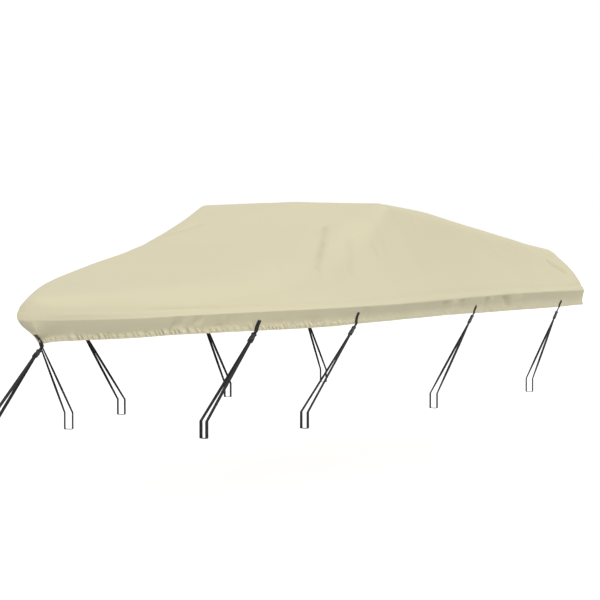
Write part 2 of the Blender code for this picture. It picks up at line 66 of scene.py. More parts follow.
SECTION_COLUMNS = ("aft", "half_width", "rim", "shoulder", "rise", "crown", "rounding", "sag")
FRONT_SECTIONS = (
    (0.00, 0.004, 1.118, 0.80, 0.095, 0.010, 0.07, 0.000),
    (0.18, 0.152, 1.118, 0.80, 0.108, 0.014, 0.09, 0.000),
    (0.45, 0.372, 1.119, 0.81, 0.137, 0.020, 0.11, 0.000),
    (0.75, 0.612, 1.132, 0.80, 0.152, 0.024, 0.13, 0.002),
    (1.05, 0.828, 1.143, 0.77, 0.180, 0.023, 0.15, 0.004),
    (1.40, 0.985, 1.149, 0.73, 0.241, 0.015, 0.18, 0.006),
    (1.90, 1.100, 1.153, 0.67, 0.333, 0.010, 0.18, 0.008),
    (2.40, 1.148, 1.156, 0.645, 0.460, 0.014, 0.14, 0.010),
    (2.70, 1.150, 1.158, 0.643, 0.557, 0.015, 0.10, 0.010),
    (2.90, 1.150, 1.160, 0.639, 0.635, 0.017, 0.05, 0.008),
)
BACK_SECTIONS = (
    FRONT_SECTIONS[-1],
    (3.40, 1.150, 1.165, 0.661, 0.598, -0.005, 0.09, 0.012),
    (4.00, 1.150, 1.170, 0.687, 0.514, -0.012, 0.10, 0.014),
    (4.70, 1.150, 1.168, 0.713, 0.420, -0.013, 0.10, 0.012),
    (5.15, 1.150, 1.164, 0.735, 0.359, -0.012, 0.09, 0.000),
    (5.43, 1.150, 1.160, 0.765, 0.325, -0.012, 0.08, -0.022),
)
BEND_REACH_ON_TOP = 1.3
BEND_LIMIT = 0.92

SKIRT_COLUMNS = ("aft", "port_drop", "starboard_drop", "inset")
SKIRT = (
    (0.11, 0.133, 0.133, 0.098),
    (0.14, 0.125, 0.116, 0.106),
    (0.25, 0.120, 0.090, 0.108),
    (0.45, 0.115, 0.084, 0.104),
    (0.75, 0.109, 0.096, 0.082),
    (1.10, 0.109, 0.109, 0.050),
    (1.50, 0.110, 0.110, 0.036),
    (1.90, 0.103, 0.103, 0.030),
    (2.40, 0.099, 0.099, 0.028),
    (3.00, 0.101, 0.101, 0.028),
    (3.90, 0.116, 0.116, 0.028),
    (4.80, 0.119, 0.119, 0.028),
    (5.44, 0.108, 0.108, 0.018),
)
# How the skirt turns in, as share of its drop and share of its inset. The first is the solid's, and its
# coarse steps round the crease off. The visible cloth turns in at once: evenly at the front, sooner along
# the sides and later at the very tip.
SKIRT_PROFILE = ((0, 0), (0.14, 0.05), (0.33, 0.28), (0.55, 0.57), (0.78, 0.85), (1, 1))
FRONT_PROFILE = ((0, 0), (0.14, 0.14), (0.33, 0.36), (0.55, 0.64), (0.75, 0.90), (0.87, 0.97), (1, 1))
SIDE_PROFILE = ((0, 0), (0.14, 0.24), (0.33, 0.58), (0.55, 0.88), (0.72, 0.96), (0.85, 0.98), (1, 1))
TIP_PROFILE = ((0, 0), (0.06, 0.05), (0.14, 0.09), (0.33, 0.21), (0.55, 0.47), (0.78, 0.81), (1, 1))
TIP_TO_PORT = 0.035         # the tip's profile ends this far to port
TIP_TO_STARBOARD = (0.28, 0.53)     # and gives way between these places on the starboard side
SIDE_BLEND = (0.70, 1.30)   # where the front's profile gives way to that of the sides

# Sizes of the tie-downs, as in the solids
WEB_WIDTH = 0.025
WEB_THICKNESS = 0.0018
PIECE_GAP = 0.0005
WEB_LIFT = PIECE_GAP + WEB_THICKNESS / 2
WEB_TOP_SHARES = {1: 0.45, 2: 0.33, 3: 0.55, 4: 0.62}   # where each tie's sewn end starts on the skirt
WEB_LEANS = {1: 0.016, 2: 0.014, 3: 0.042, 4: 0.050}    # and how much further aft it starts than it leaves
FRONT_TOP_SHARE = 0.62
HEM_CLEAR = 0.003
STATION_MARGIN = 0.017
LOOP_BOX_WIDTH = 0.050
LOOP_BOX_HEIGHT = 0.100
LOOP_FOOT_HEIGHT = 0.400
LOOP_CORNER = 0.005
RUN_SPACING = 0.0032
# The columns are number, aft, port_foot, starboard_foot and buckle_below_hem. A foot is aft and side.
SIDE_TIES = (
    (1, 1.115, (1.085, 0.495), (1.085, 0.495), 0.014),
    (2, 1.880, (1.855, 0.726), (1.975, 0.748), 0.016),
    (3, 3.452, (3.420, 0.840), (3.420, 0.840), 0.012),
    (4, 4.968, (4.945, 0.900), (4.945, 0.900), 0.034),
)
FOOT_YAW = 0.29             # the feet ahead are turned in by up to this angle
FOOT_YAW_FADE = (0.8, 3.0)  # which fades out between these places
FRONT_TURN = ((0.006, -0.010), (0.002, -0.022))
FRONT_AIM = (-0.14, 0.70)
FRONT_FOOT = (-0.215, 0.585)
FRONT_TAB_LENGTH = 0.020
FRONT_LOOP_RADIUS = 0.022
BUCKLE_WIDTH = 0.034
BUCKLE_THICKNESS = 0.011
SOCKET_LENGTH = 0.040
PLUG_LENGTH = 0.022
BUCKLE_LENGTH = SOCKET_LENGTH + PLUG_LENGTH + 2 * PIECE_GAP

RIDGE = dict(zip(SECTION_COLUMNS, FRONT_SECTIONS[-1]))
ORIGIN = Vector((RIDGE_AFT, 0.0, RIDGE["rim"] + RIDGE["rise"] + RIDGE["crown"] - CLOTH_THICKNESS))


def placed(point):
    """A place in the layout as a place in the frame."""
    return Vector(point) - ORIGIN


def add_object(name, data):
    thing = bpy.data.objects.new(name, data)
    bpy.context.scene.collection.objects.link(thing)
    return thing


# The camera of the photograph, in the layout: it stands far ahead on the port side, at about eye height

CAMERA_PLACE = (-7.563, -6.219, 1.580)
CAMERA_HEADING = (0.8625, 0.5060)
CAMERA_PITCH = math.radians(-2.06)
CAMERA_LENS_MM = 106.8


def make_camera():
    camera = bpy.data.cameras.new("camera")
    camera.lens = CAMERA_LENS_MM
    camera.sensor_width = 36.0
    holder = add_object("camera", camera)
    level = math.cos(CAMERA_PITCH)
    aim = Vector((CAMERA_HEADING[0] * level, CAMERA_HEADING[1] * level, math.sin(CAMERA_PITCH)))
    holder.location = placed(CAMERA_PLACE)
    holder.rotation_mode = "QUATERNION"
    holder.rotation_quaternion = aim.to_track_quat("-Z", "Y")
    camera.clip_end = 200.0
    bpy.context.scene.camera = holder


# Values along the cover

def knot_slopes(places, values):
    """Slopes for a smooth curve through a column of values that never overshoots them."""
    steps = [b - a for a, b in zip(places, places[1:])]
    rises = [(b - a) / step for a, b, step in zip(values, values[1:], steps)]
    slopes = [rises[0]]
    for before, after, left, right in zip(rises, rises[1:], steps, steps[1:]):
        if before * after <= 0.0:
            slopes.append(0.0)
            continue
        wide_left = left + 2.0 * right
        wide_right = 2.0 * left + right
        slopes.append((wide_left + wide_right) / (wide_left / before + wide_right / after))
    return slopes + [rises[-1]]


def curve_through(rows, column):
    """A function of the table's first column that runs smoothly through another of its columns."""
    places = [row[0] for row in rows]
    values = [row[column] for row in rows]
    slopes = knot_slopes(places, values)

    def at(place):
        place = min(max(place, places[0]), places[-1])
        index = max(i for i, start in enumerate(places[:-1]) if start <= place)
        step = places[index + 1] - places[index]
        t = (place - places[index]) / step
        return (
            (2 * t**3 - 3 * t**2 + 1) * values[index]
            + (t**3 - 2 * t**2 + t) * step * slopes[index]
            + (3 * t**2 - 2 * t**3) * values[index + 1]
            + (t**3 - t**2) * step * slopes[index + 1]
        )

    return at


def curves_of(rows, names):
    """A curve for each named column after the first."""
    return {name: curve_through(rows, column) for column, name in enumerate(names) if column}


FRONT_CURVES = curves_of(FRONT_SECTIONS, SECTION_COLUMNS)
BACK_CURVES = curves_of(BACK_SECTIONS, SECTION_COLUMNS)
SKIRT_CURVES = curves_of(SKIRT, SKIRT_COLUMNS)
tip_inset_share = curve_through(TIP_PROFILE, 1)
front_inset_share = curve_through(FRONT_PROFILE, 1)
side_inset_share = curve_through(SIDE_PROFILE, 1)


def section_value(name, aft):
    curves = FRONT_CURVES if aft <= RIDGE_AFT else BACK_CURVES
    return curves[name](aft)


def nose_share(aft):
    """1 behind the nose, and less towards its tip, where the width and the rise run out."""
    if aft >= NOSE_JOIN:
        return 1.0
    round_width = math.sqrt(max(NOSE_RADIUS**2 - (NOSE_CENTRE - aft) ** 2, 0.0))
    return min(round_width / section_value("half_width", aft), 1.0)


def half_width(aft):
    return section_value("half_width", aft) * nose_share(aft)


def fade_in(value, start, end):
    """0 up to start, 1 from end on, and smooth between them."""
    t = np.clip((value - start) / (end - start), 0.0, 1.0)
    return t * t * (3.0 - 2.0 * t)


def hump(value, start, full, fading, end):
    """0 outside start and end, 1 between full and fading, and smooth between those."""
    return fade_in(value, start, full) * (1.0 - fade_in(value, fading, end))


# The cloth above the crease, in finer steps than the solid

SIDE_STEPS = 28
SIDE_CROWDING = 1.15        # the steps are shorter near the crease, which keeps it crisp
BEND_STEPS = 12
TOP_STEPS = 24
TOP_CROWDING = 1.3          # the steps on top are shorter near the bend
STATION_STEP = 0.020
FINE_STATIONS = (1.78, 2.58)    # the sections are twice as close here, where the sharpest wrinkle runs
NOSE_ANGLES = 60
SEARCH_STEP = 0.004         # the even stations are found along a chain of sections this far apart
BACK_ROWS = 12
COLUMNS = 2 * (SIDE_STEPS + BEND_STEPS + TOP_STEPS) + 1
SETTLE_AT_CREASE = 0.035    # the relief comes in over this distance from the crease

# Troughs (negative) and ridges (positive) of the solid, each along a line from `aft`, `up` to `aft_end`,
# `up_end`, where `up` is the way up the section from the crease. Side -1 is port, 1 starboard.
# The columns are side, aft, up, aft_end, up_end, half_width and height.
FOLDS = (
    (-1, 2.46, 0.86, 2.10, 0.52, 0.070, -0.012),
    (-1, 2.10, 0.52, 1.83, 0.30, 0.075, -0.014),
    (-1, 2.22, 0.60, 1.95, 0.34, 0.060, 0.007),
    (-1, 2.36, 0.52, 2.08, 0.30, 0.070, -0.005),
    (-1, 0.35, 0.10, 0.95, 0.14, 0.060, -0.004),
    (-1, 5.05, 0.44, 5.34, 0.30, 0.060, -0.008),
    (1, 2.50, 0.84, 1.98, 0.36, 0.080, -0.013),
    (1, 3.60, 0.62, 4.30, 0.30, 0.110, -0.008),
    (1, 0.40, 0.10, 1.10, 0.16, 0.070, -0.005),
    (1, 4.95, 0.46, 5.32, 0.24, 0.070, -0.009),
)


def half_section(aft):
    """Points (half width, height) from the crease over the bend to the middle of the top."""
    wide = half_width(aft)
    rim = section_value("rim", aft)
    rise = section_value("rise", aft) * nose_share(aft)
    foot = Vector((wide, rim))
    bend = Vector((wide * section_value("shoulder", aft), rim + rise))
    crown = Vector((0.0, bend.y + section_value("crown", aft) * nose_share(aft)))
    rounding = section_value("rounding", aft)
    side = foot - bend
    top = crown - bend
    side_start = bend + side * min(rounding / side.length, BEND_LIMIT)
    top_end = bend + top * min(BEND_REACH_ON_TOP * rounding / top.length, BEND_LIMIT)
    inward = Vector((-abs(side.y), -abs(side.x))).normalized()
    sag = section_value("sag", aft)
    points = []
    for step in range(SIDE_STEPS):
        t = (step / SIDE_STEPS) ** SIDE_CROWDING
        points.append(foot.lerp(side_start, t) + inward * sag * math.sin(math.pi * t))
    for step in range(BEND_STEPS):
        t = step / BEND_STEPS
        points.append(side_start * (1 - t) ** 2 + bend * 2 * t * (1 - t) + top_end * t**2)
    for step in range(TOP_STEPS + 1):
        points.append(top_end.lerp(crown, (step / TOP_STEPS) ** TOP_CROWDING))
    return np.array(points)


def stations():
    """Places of the sections behind the tip, even along the crease, with one of them on the ridge."""
    turn = math.acos((NOSE_CENTRE - NOSE_JOIN) / NOSE_RADIUS)
    nose = [NOSE_CENTRE - NOSE_RADIUS * math.cos(angle) for angle in np.linspace(0.0, turn, NOSE_ANGLES)]
    places = np.array([*nose, *np.arange(nose[-1] + SEARCH_STEP, LAST_AFT, SEARCH_STEP), LAST_AFT])
    widths = np.array([half_width(place) for place in places])
    travelled = np.concatenate([[0.0], np.cumsum(np.hypot(np.diff(places), np.diff(widths)))])
    even = np.linspace(0.0, travelled[-1], round(travelled[-1] / STATION_STEP) + 1)
    chosen = np.interp(even, travelled, places)
    chosen[np.argmin(abs(chosen - RIDGE_AFT))] = RIDGE_AFT
    between = (chosen[1:] + chosen[:-1]) / 2
    extra = between[(between > FINE_STATIONS[0]) & (between < FINE_STATIONS[1])]
    return sorted([*chosen[1:], *extra])


def whole_section(aft):
    """A section from the port crease to the starboard crease, and the way up it from the nearer crease."""
    flat = half_section(aft)
    rim = flat[0][1]
    tall = section_value("rise", aft)
    lean = BACK_RAKE * float(fade_in(aft, BACK_RAKE_START, LAST_AFT))
    afts = aft - lean * (flat[:, 1] - rim) / tall
    port = np.stack([afts, -flat[:, 0], flat[:, 1]], axis=1)
    starboard = np.stack([afts, flat[:, 0], flat[:, 1]], axis=1)
    up = np.concatenate([[0.0], np.cumsum(np.hypot(*np.diff(flat, axis=0).T))])
    return np.concatenate([port, starboard[-2::-1]]), np.concatenate([up, up[-2::-1]])


def back_rows(last_section):
    """Rows from below the top edge of the back end down to its crease."""
    widest = half_width(LAST_AFT)
    rim = section_value("rim", LAST_AFT)
    foot = last_section.copy()
    foot[:, 0] = BACK_AFT
    foot[:, 1] *= (widest - BACK_CORNER) / widest
    foot[:, 2] = rim
    rows = []
    for row in range(1, BACK_ROWS + 1):
        t = row / BACK_ROWS
        points = last_section * (1 - t) + foot * t
        points[:, 0] += BACK_BULGE * math.sin(math.pi * t)
        points[0] = last_section[0]
        points[-1] = last_section[-1]
        rows.append(points)
    return rows


def line_relief(aft, up, sides, line, height):
    """A soft trough or ridge of this height along a line of FOLDS or WRINKLES, at arrays of places."""
    side, aft_a, up_a, aft_b, up_b, reach, _ = line
    along = np.array([aft_b - aft_a, up_b - up_a])
    away = np.stack([aft - aft_a, up - up_a], axis=-1)
    t = np.clip(away @ along / (along @ along), 0.0, 1.0)
    distance = np.linalg.norm(away - t[..., None] * along, axis=-1)
    return np.where(sides == side, height * np.exp(-((distance / reach) ** 2)), 0.0)


FOLD_SHARE = 0.6            # the visible cloth is drawn a little flatter than the solid's folds
# Finer wrinkles than the solid's folds, in the same columns
WRINKLES = (
    (-1, 2.487, 0.852, 2.200, 0.630, 0.021, -0.0080),
    (-1, 2.200, 0.630, 1.980, 0.464, 0.020, -0.0110),
    (-1, 1.980, 0.464, 1.836, 0.341, 0.019, -0.0070),
    (-1, 2.360, 0.557, 2.120, 0.285, 0.030, -0.0035),
    (-1, 2.530, 0.475, 2.500, 0.378, 0.020, -0.0040),
    (-1, 2.72, 0.74, 2.62, 0.40, 0.030, -0.0022),
    (-1, 2.94, 0.80, 2.92, 0.60, 0.020, -0.0020),
    (-1, 3.20, 0.70, 3.12, 0.52, 0.022, -0.0022),
    (-1, 1.60, 0.42, 1.45, 0.24, 0.022, -0.0016),
    (-1, 1.25, 0.34, 1.10, 0.20, 0.020, -0.0012),
    (-1, 4.10, 0.50, 4.35, 0.26, 0.030, -0.0018),
    (-1, 4.60, 0.44, 4.74, 0.22, 0.024, -0.0016),
    (-1, 5.10, 0.44, 5.30, 0.34, 0.018, -0.0040),
    (-1, 5.18, 0.29, 5.31, 0.18, 0.026, -0.0160),
    (-1, 5.27, 0.36, 5.39, 0.25, 0.024, 0.0080),
    (1, 2.52, 0.88, 2.28, 0.66, 0.028, -0.0050),
    (1, 2.28, 0.66, 1.98, 0.36, 0.030, -0.0055),
    (1, 2.46, 0.60, 2.20, 0.34, 0.024, -0.0028),
    (1, 3.10, 0.74, 3.24, 0.48, 0.026, -0.0024),
    (1, 3.62, 0.60, 4.30, 0.30, 0.032, -0.0030),
    (1, 4.40, 0.46, 4.66, 0.22, 0.026, -0.0020),
    (1, 5.06, 0.44, 5.32, 0.28, 0.020, -0.0040),
    (1, 1.52, 0.40, 1.34, 0.20, 0.024, -0.0018),
)
DEEPEST_WRINKLE = 0.011     # a trough of this depth gets the full painted shade
PAINTED_WRINKLE_SHADE = 0.55          # and its painted shade is this dark, compared with the painted shade between the gathers
PAINTED_WRINKLE_SHARPNESS = 1.2
TENSION_UP = 0.050          # the cloth is drawn tight along a line this far above the crease
TENSION_REACH = 0.010
TENSION_DEPTH = -0.0050
NOSE_FULLNESS = 0.006       # the front end is a little fuller than the solid
NOSE_FULL_TO = 0.90
UNEVEN_HEIGHT = 0.0011
UNEVEN_WAVES = 14
UNEVEN_LENGTHS = (0.16, 0.75)
UNEVEN_USUAL_LENGTH = 0.45  # shorter waves are lower and longer ones higher
DECK_SEED = 11
BACK_SEED = 23


def painted_wrinkle_shade(aft, up, sides):
    """Painted shade in the wrinkles, which grows with how deep in a wrinkle each place lies, from 0 to 1."""
    painted_shading = np.zeros(aft.shape)
    for line in WRINKLES:
        if line[-1] < 0.0:
            share = line_relief(aft, up, sides, line, min(-line[-1] / DEEPEST_WRINKLE, 1.0))
            painted_shading = np.maximum(painted_shading, PAINTED_WRINKLE_SHADE * share**PAINTED_WRINKLE_SHARPNESS)
    return painted_shading


def uneven(places, seed):
    """Soft unevenness of stretched cloth: a few long waves in arbitrary directions."""
    draw = random.Random(seed)
    total = np.zeros(places.shape[:-1])
    for _ in range(UNEVEN_WAVES):
        heading = draw.uniform(0.0, 2.0 * math.pi)
        length = draw.uniform(*UNEVEN_LENGTHS)
        phase = draw.uniform(0.0, 2.0 * math.pi)
        along = places[..., 0] * math.cos(heading) + places[..., 1] * math.sin(heading)
        total += (length / UNEVEN_USUAL_LENGTH) * np.sin(2.0 * math.pi * along / length + phase)
    return UNEVEN_HEIGHT * total / math.sqrt(UNEVEN_WAVES)


def deck_relief(aft, up, sides):
    height = uneven(np.stack([aft, up * sides], axis=-1), DECK_SEED)
    for line in FOLDS:
        height += line_relief(aft, up, sides, line, line[-1] * FOLD_SHARE)
    for line in WRINKLES:
        height += line_relief(aft, up, sides, line, line[-1])
    height += NOSE_FULLNESS * (1.0 - fade_in(aft, 0.0, NOSE_FULL_TO))
    height += TENSION_DEPTH * np.exp(-(((up - TENSION_UP) / TENSION_REACH) ** 2))
    return height * fade_in(up, 0.0, SETTLE_AT_CREASE)


# Soft vertical draws of the back end, as side, half_width and height
BACK_DRAWS = (
    (-0.86, 0.05, -0.004),
    (-0.52, 0.07, -0.003),
    (0.10, 0.09, -0.002),
    (0.47, 0.06, -0.003),
    (0.90, 0.05, -0.004),
)


def grid_normals(grid):
    """Unit normals of a grid of points, turned up or out."""
    normals = np.cross(np.gradient(grid, axis=0), np.gradient(grid, axis=1))
    sizes = np.linalg.norm(normals, axis=-1, keepdims=True)
    return normals / np.maximum(sizes, TINY)


# The skirt, in finer steps than the solid

# Shares of the drop, closest together where the hem is gathered
SKIRT_ROWS = (
    0.03, 0.12, 0.24, 0.35, 0.45, 0.53, 0.60, 0.65, 0.70, 0.75, 0.80, 0.85, 0.89, 0.93, 0.97, 1.00,
)
HEM_SEAM_ROW = 12           # the hem's seam runs along this one of them
# The hem is turned under: how far in from its edge and how far below it each further row lies
HEM_ROWS = ((0.0014, 0.0012), (0.0032, 0.0008), (0.0040, -0.0030), (0.0038, -0.0200))
SKIRT_STEP = 0.0034         # from the tip to GATHERS_END, and the wider one behind it
SKIRT_WIDE_STEP = 0.0090
SCALLOP_HEIGHT = 0.006
SCALLOP_LENGTHS = (0.47, 0.31)
SCALLOP_TIE_FADE = (0.02, 0.12)     # the waves come in between these distances from a tie-down
SCALLOP_NOSE_FADE = 0.50
LIP_FLARE = 0.0030          # the hem stands out this much
LIP_FROM = 0.84

# Small gathers along the hem: puckers with narrow creases between them, which lean aft on their way down.
# They die out near a tie-down.
GATHERS_END = 2.0           # the hem is stepped finely up to here
GATHER_SEED = 5
GATHER_MARGIN = 0.2         # the row of creases goes on this far past both ends of the hem, for its lean
GATHER_SPACING = (0.016, 0.054)
GATHER_HEIGHT = (0.0070, 0.0240)
GATHER_FROM = (0.52, 0.82)  # where they start, as a share of the drop
GATHER_PEAK = 0.87          # share of the drop at which they stand out most, just above the drawn-in edge
GATHER_EDGE = 0.45          # how much less they stand out at the edge itself
GATHER_LEAN = 0.075
GATHER_TIE_FADE = (0.014, 0.030)
GATHER_SETTLE = 0.0050      # the hem between them is drawn in by this much
GATHER_SETTLE_FROM = 0.5
PAINTED_CROWN_HIGHLIGHT = 0.85         # painted highlight: their crowns are painted paler by this share of the painted shade between them
PAINTED_CROWN_SHARPNESS = 3
# How strong they are along the cover
GATHER_STRENGTH = (
    (0.11, 0.35), (0.30, 0.90), (0.60, 1.00), (1.60, 1.00),
    (1.95, 0.30), (2.40, 0.16), (5.00, 0.14), (5.45, 0.30),
)
gather_strength = curve_through(GATHER_STRENGTH, 1)

# The sharp fold in the skirt on the middle line of the front end. Spans are for `hump`, over the drop.
STEM_HEIGHT = 0.015
STEM_REACH = 0.085
STEM_SPAN = (0.00, 0.35, 0.60, 1.00)
NOSE_SHADE = 1.2            # its starboard face gets this much painted shade, compared with the painted shade between the gathers
NOSE_SHADE_SPAN = (0.00, 0.10, 0.40, 0.70)
NOSE_SHADE_BESIDE = (-0.03, 0.00, 0.10, 0.20)

# Folds over the whole height of the skirt, as side, aft at the crease, aft at the hem, half_width, height.
# Each is a soft trough or ridge, strongest in the middle of the skirt, and dies out near a tie-down.
FOLD_TIE_FADE = (0.016, 0.032)
FOLD_FULL_AT = 0.25         # share of the drop
FOLD_LOSS = 0.6             # a fold loses this share of its height over the last part of the drop
FOLD_LOSS_SPAN = (0.7, 1.0)
SKIRT_FOLDS = (
    (-1, 0.90, 0.93, 0.012, -0.0050),
    (-1, 0.95, 0.98, 0.010, -0.0050),
    (-1, 1.02, 1.12, 0.012, 0.0060),
    (-1, 1.30, 1.36, 0.014, -0.0030),
    (-1, 1.96, 2.00, 0.030, -0.0050),
    (-1, 2.22, 2.26, 0.040, -0.0030),
    (-1, 2.99, 3.02, 0.050, -0.0130),
    (-1, 3.11, 3.15, 0.040, 0.0100),
    (-1, 3.24, 3.27, 0.030, -0.0110),
    (-1, 3.64, 3.67, 0.026, -0.0140),
    (-1, 3.71, 3.75, 0.024, 0.0090),
    (-1, 3.92, 4.08, 0.055, -0.0190),
    (-1, 4.18, 4.24, 0.050, 0.0070),
    (1, 1.06, 1.02, 0.012, -0.0040),
    (1, 1.72, 1.76, 0.012, -0.0035),
    (1, 2.86, 2.90, 0.020, -0.0030),
    (1, 4.20, 4.24, 0.016, -0.0030),
)
DENT_FADE = 0.18            # share of the drop over which a dent ends
DENT_STEEPNESS = 4
# Dents right under the crease, as side, aft, half_width along the cover, share of the drop and depth
SKIRT_DENTS = (
    (-1, 0.715, 0.026, 0.50, 0.0200),
    (-1, 0.805, 0.020, 0.36, 0.0160),
    (-1, 0.930, 0.110, 0.60, 0.0100),
    (1, 0.820, 0.026, 0.45, 0.0100),
    (1, 1.300, 0.030, 0.50, 0.0070),
)


def side_outward(aft, side):
    """Level direction straight out from the crease on one side."""
    reach = 0.004
    slope = (half_width(aft + reach) - half_width(aft - reach)) / (2 * reach)
    return Vector((-slope, side, 0.0)).normalized()


def skirt_point(crease, outward, share_down, share_in):
    name = "port_drop" if crease.y <= 0.0 else "starboard_drop"
    drop = SKIRT_CURVES[name](crease.x) * share_down
    inset = SKIRT_CURVES["inset"](crease.x) * share_in
    return crease - outward * inset - Vector((0.0, 0.0, drop))


def inset_share(drop_share, aft, side):
    """How much of its whole inset the skirt has at a share of its drop. Takes arrays of places."""
    behind_tip = np.where(side > 0, fade_in(aft, *TIP_TO_STARBOARD), fade_in(-side, 0.0, TIP_TO_PORT))
    on_side = fade_in(aft, *SIDE_BLEND)
    turned_in = front_inset_share(drop_share) * (1.0 - on_side) + side_inset_share(drop_share) * on_side
    return tip_inset_share(drop_share) * (1.0 - behind_tip) + turned_in * behind_tip


def tie_clear(aft):
    """Distance along the cover to the nearest tie-down."""
    return np.min([abs(aft - tie[1]) for tie in SIDE_TIES], axis=0)


def scallop(travelled, aft):
    """Broad waves of the hem, flat under each tie-down."""
    fade = fade_in(tie_clear(aft), *SCALLOP_TIE_FADE) * fade_in(aft, 0.0, SCALLOP_NOSE_FADE)
    wave = sum(np.sin(2.0 * math.pi * travelled / length) for length in SCALLOP_LENGTHS)
    return SCALLOP_HEIGHT * fade * wave / len(SCALLOP_LENGTHS)


def lip(drop_share):
    """How far the hem's lip stands out at a share of the skirt's drop."""
    return LIP_FLARE * fade_in(drop_share, LIP_FROM, 1.0)


def stem_fold(travelled, drop_share):
    """The skirt is folded sharply on the middle line of the front end, with a flat face on either side."""
    around = np.minimum(travelled, travelled.max() - travelled)
    face = np.maximum(1.0 - around / STEM_REACH, 0.0)
    return STEM_HEIGHT * face[None, :] * hump(drop_share, *STEM_SPAN)[:, None]


def nose_shade(travelled, sides, drop_share):
    """Painted shade: the starboard face of that fold lies in shade just under the crease."""
    around = np.minimum(travelled, travelled.max() - travelled) * sides
    beside = hump(around, *NOSE_SHADE_BESIDE)
    return NOSE_SHADE * hump(drop_share, *NOSE_SHADE_SPAN)[:, None] * beside[None, :]


def gathers(travelled, aft, drop_share):
    """Small leaning puckers along the hem: their relief, and the painted shade between them and painted
    highlight on their crowns.
    """
    draw = random.Random(GATHER_SEED)
    creases = [-GATHER_MARGIN]
    while creases[-1] < travelled.max() + GATHER_MARGIN:
        creases.append(creases[-1] + draw.uniform(*GATHER_SPACING))
    creases = np.array(creases)
    heights = np.array([draw.uniform(*GATHER_HEIGHT) for _ in creases])
    starts = np.array([draw.uniform(*GATHER_FROM) for _ in creases])
    strength = np.array([gather_strength(value) for value in aft])
    strength = strength * fade_in(tie_clear(aft), *GATHER_TIE_FADE)
    lean = np.where(travelled < travelled.max() / 2, GATHER_LEAN, -GATHER_LEAN)
    drop = drop_share[:, None]
    place = travelled[None, :] - lean[None, :] * (drop - 0.5)
    index = np.searchsorted(creases, place) - 1
    across = (place - creases[index]) / (creases[index + 1] - creases[index])
    arch = np.sqrt(np.sin(math.pi * np.clip(across, 0.0, 1.0)))
    ramp = fade_in(drop, starts[index], GATHER_PEAK)
    edge = 1.0 - GATHER_EDGE * fade_in(drop, GATHER_PEAK, 1.0)
    settled = GATHER_SETTLE * fade_in(drop, GATHER_SETTLE_FROM, 1.0)
    relief = heights[index] * arch * ramp * edge - settled
    tall = heights[index] / GATHER_HEIGHT[1]
    # painted shade in the creases between the puckers, and painted highlight on their crowns
    painted_shading = (1.0 - arch - PAINTED_CROWN_HIGHLIGHT * arch**PAINTED_CROWN_SHARPNESS) * tall * ramp
    return relief * strength, painted_shading * strength


def skirt_folds(aft, sides, drop_share):
    total = np.zeros((len(drop_share), len(aft)))
    clear = fade_in(tie_clear(aft), *FOLD_TIE_FADE)
    ramp = fade_in(drop_share, 0.0, FOLD_FULL_AT) * (1.0 - FOLD_LOSS * fade_in(drop_share, *FOLD_LOSS_SPAN))
    for side, at_crease, at_hem, reach, height in SKIRT_FOLDS:
        middle = at_crease + (at_hem - at_crease) * drop_share
        shape = np.exp(-(((aft[None, :] - middle[:, None]) / reach) ** 2)) * ramp[:, None]
        total += height * np.where(sides == side, shape, 0.0) * clear
    for side, place, reach, foot, depth in SKIRT_DENTS:
        shape = np.exp(-(((aft - place) / reach) ** DENT_STEEPNESS)) * (sides == side)
        sinks = np.clip(drop_share / foot, 0.0, 1.0) * (1.0 - fade_in(drop_share, foot, foot + DENT_FADE))
        total -= depth * shape * sinks[:, None]
    return total


class MeshLists:
    """Points, faces and the cloth's own flat coordinates, gathered before they become a mesh; on the cover
    their third value is painted shade.
    """

    def __init__(self):
        self.points = []
        self.flat = []
        self.faces = []

    def add_row(self, points, flat):
        start = len(self.points)
        self.points.extend(tuple(point) for point in points)
        self.flat.extend(tuple(place) for place in flat)
        return list(range(start, start + len(points)))

    def strip(self, row, next_row):
        for a, b, c, d in zip(row, row[1:], next_row[1:], next_row):
            corners = list(dict.fromkeys((a, b, c, d)))
            if len(corners) > 2:
                self.faces.append(corners)

    def fan(self, edge, apex_start, apex_end):
        """Triangles between a finely stepped edge and one or two points beside it."""
        middle = len(edge) // 2 if apex_start != apex_end else len(edge) - 1
        for index in range(len(edge) - 1):
            apex = apex_start if index < middle else apex_end
            if apex not in (edge[index], edge[index + 1]):
                self.faces.append([edge[index], edge[index + 1], apex])
        if apex_start != apex_end:
            self.faces.append([edge[middle], apex_end, apex_start])

    def to_object(self, name, material, attribute):
        mesh = make_mesh(name, self.points, self.faces, material)
        places = mesh.attributes.new(attribute, "FLOAT_VECTOR", "POINT")
        places.data.foreach_set("vector", np.array(self.flat, dtype=np.float32).ravel())
        return add_object(name, mesh)


def make_mesh(name, points, faces, material):
    """A smooth mesh through these points of the layout, with its faces turned out."""
    mesh = bpy.data.meshes.new(name)
    mesh.from_pydata([tuple(placed(point)) for point in points], [], faces)
    data = bmesh.new()
    data.from_mesh(mesh)
    bmesh.ops.recalc_face_normals(data, faces=data.faces)
    data.to_mesh(mesh)
    data.free()
    mesh.shade_smooth()
    mesh.materials.append(material)
    return mesh


def side_deck(afts):
    """The points of the deck's sections, each one's way up from the crease and the painted shade of its
    wrinkles.
    """
    sections = [whole_section(aft) for aft in afts]
    deck = np.array([points for points, _ in sections])
    up = np.array([ways for _, ways in sections])
    aft_grid = np.repeat(np.array(afts)[:, None], COLUMNS, axis=1)
    sides = np.where(np.arange(COLUMNS) < COLUMNS // 2, -1, 1)[None, :].repeat(len(afts), axis=0)
    deck = deck + grid_normals(deck) * deck_relief(aft_grid, up, sides)[..., None]
    return deck, up, painted_wrinkle_shade(aft_grid, up, sides)


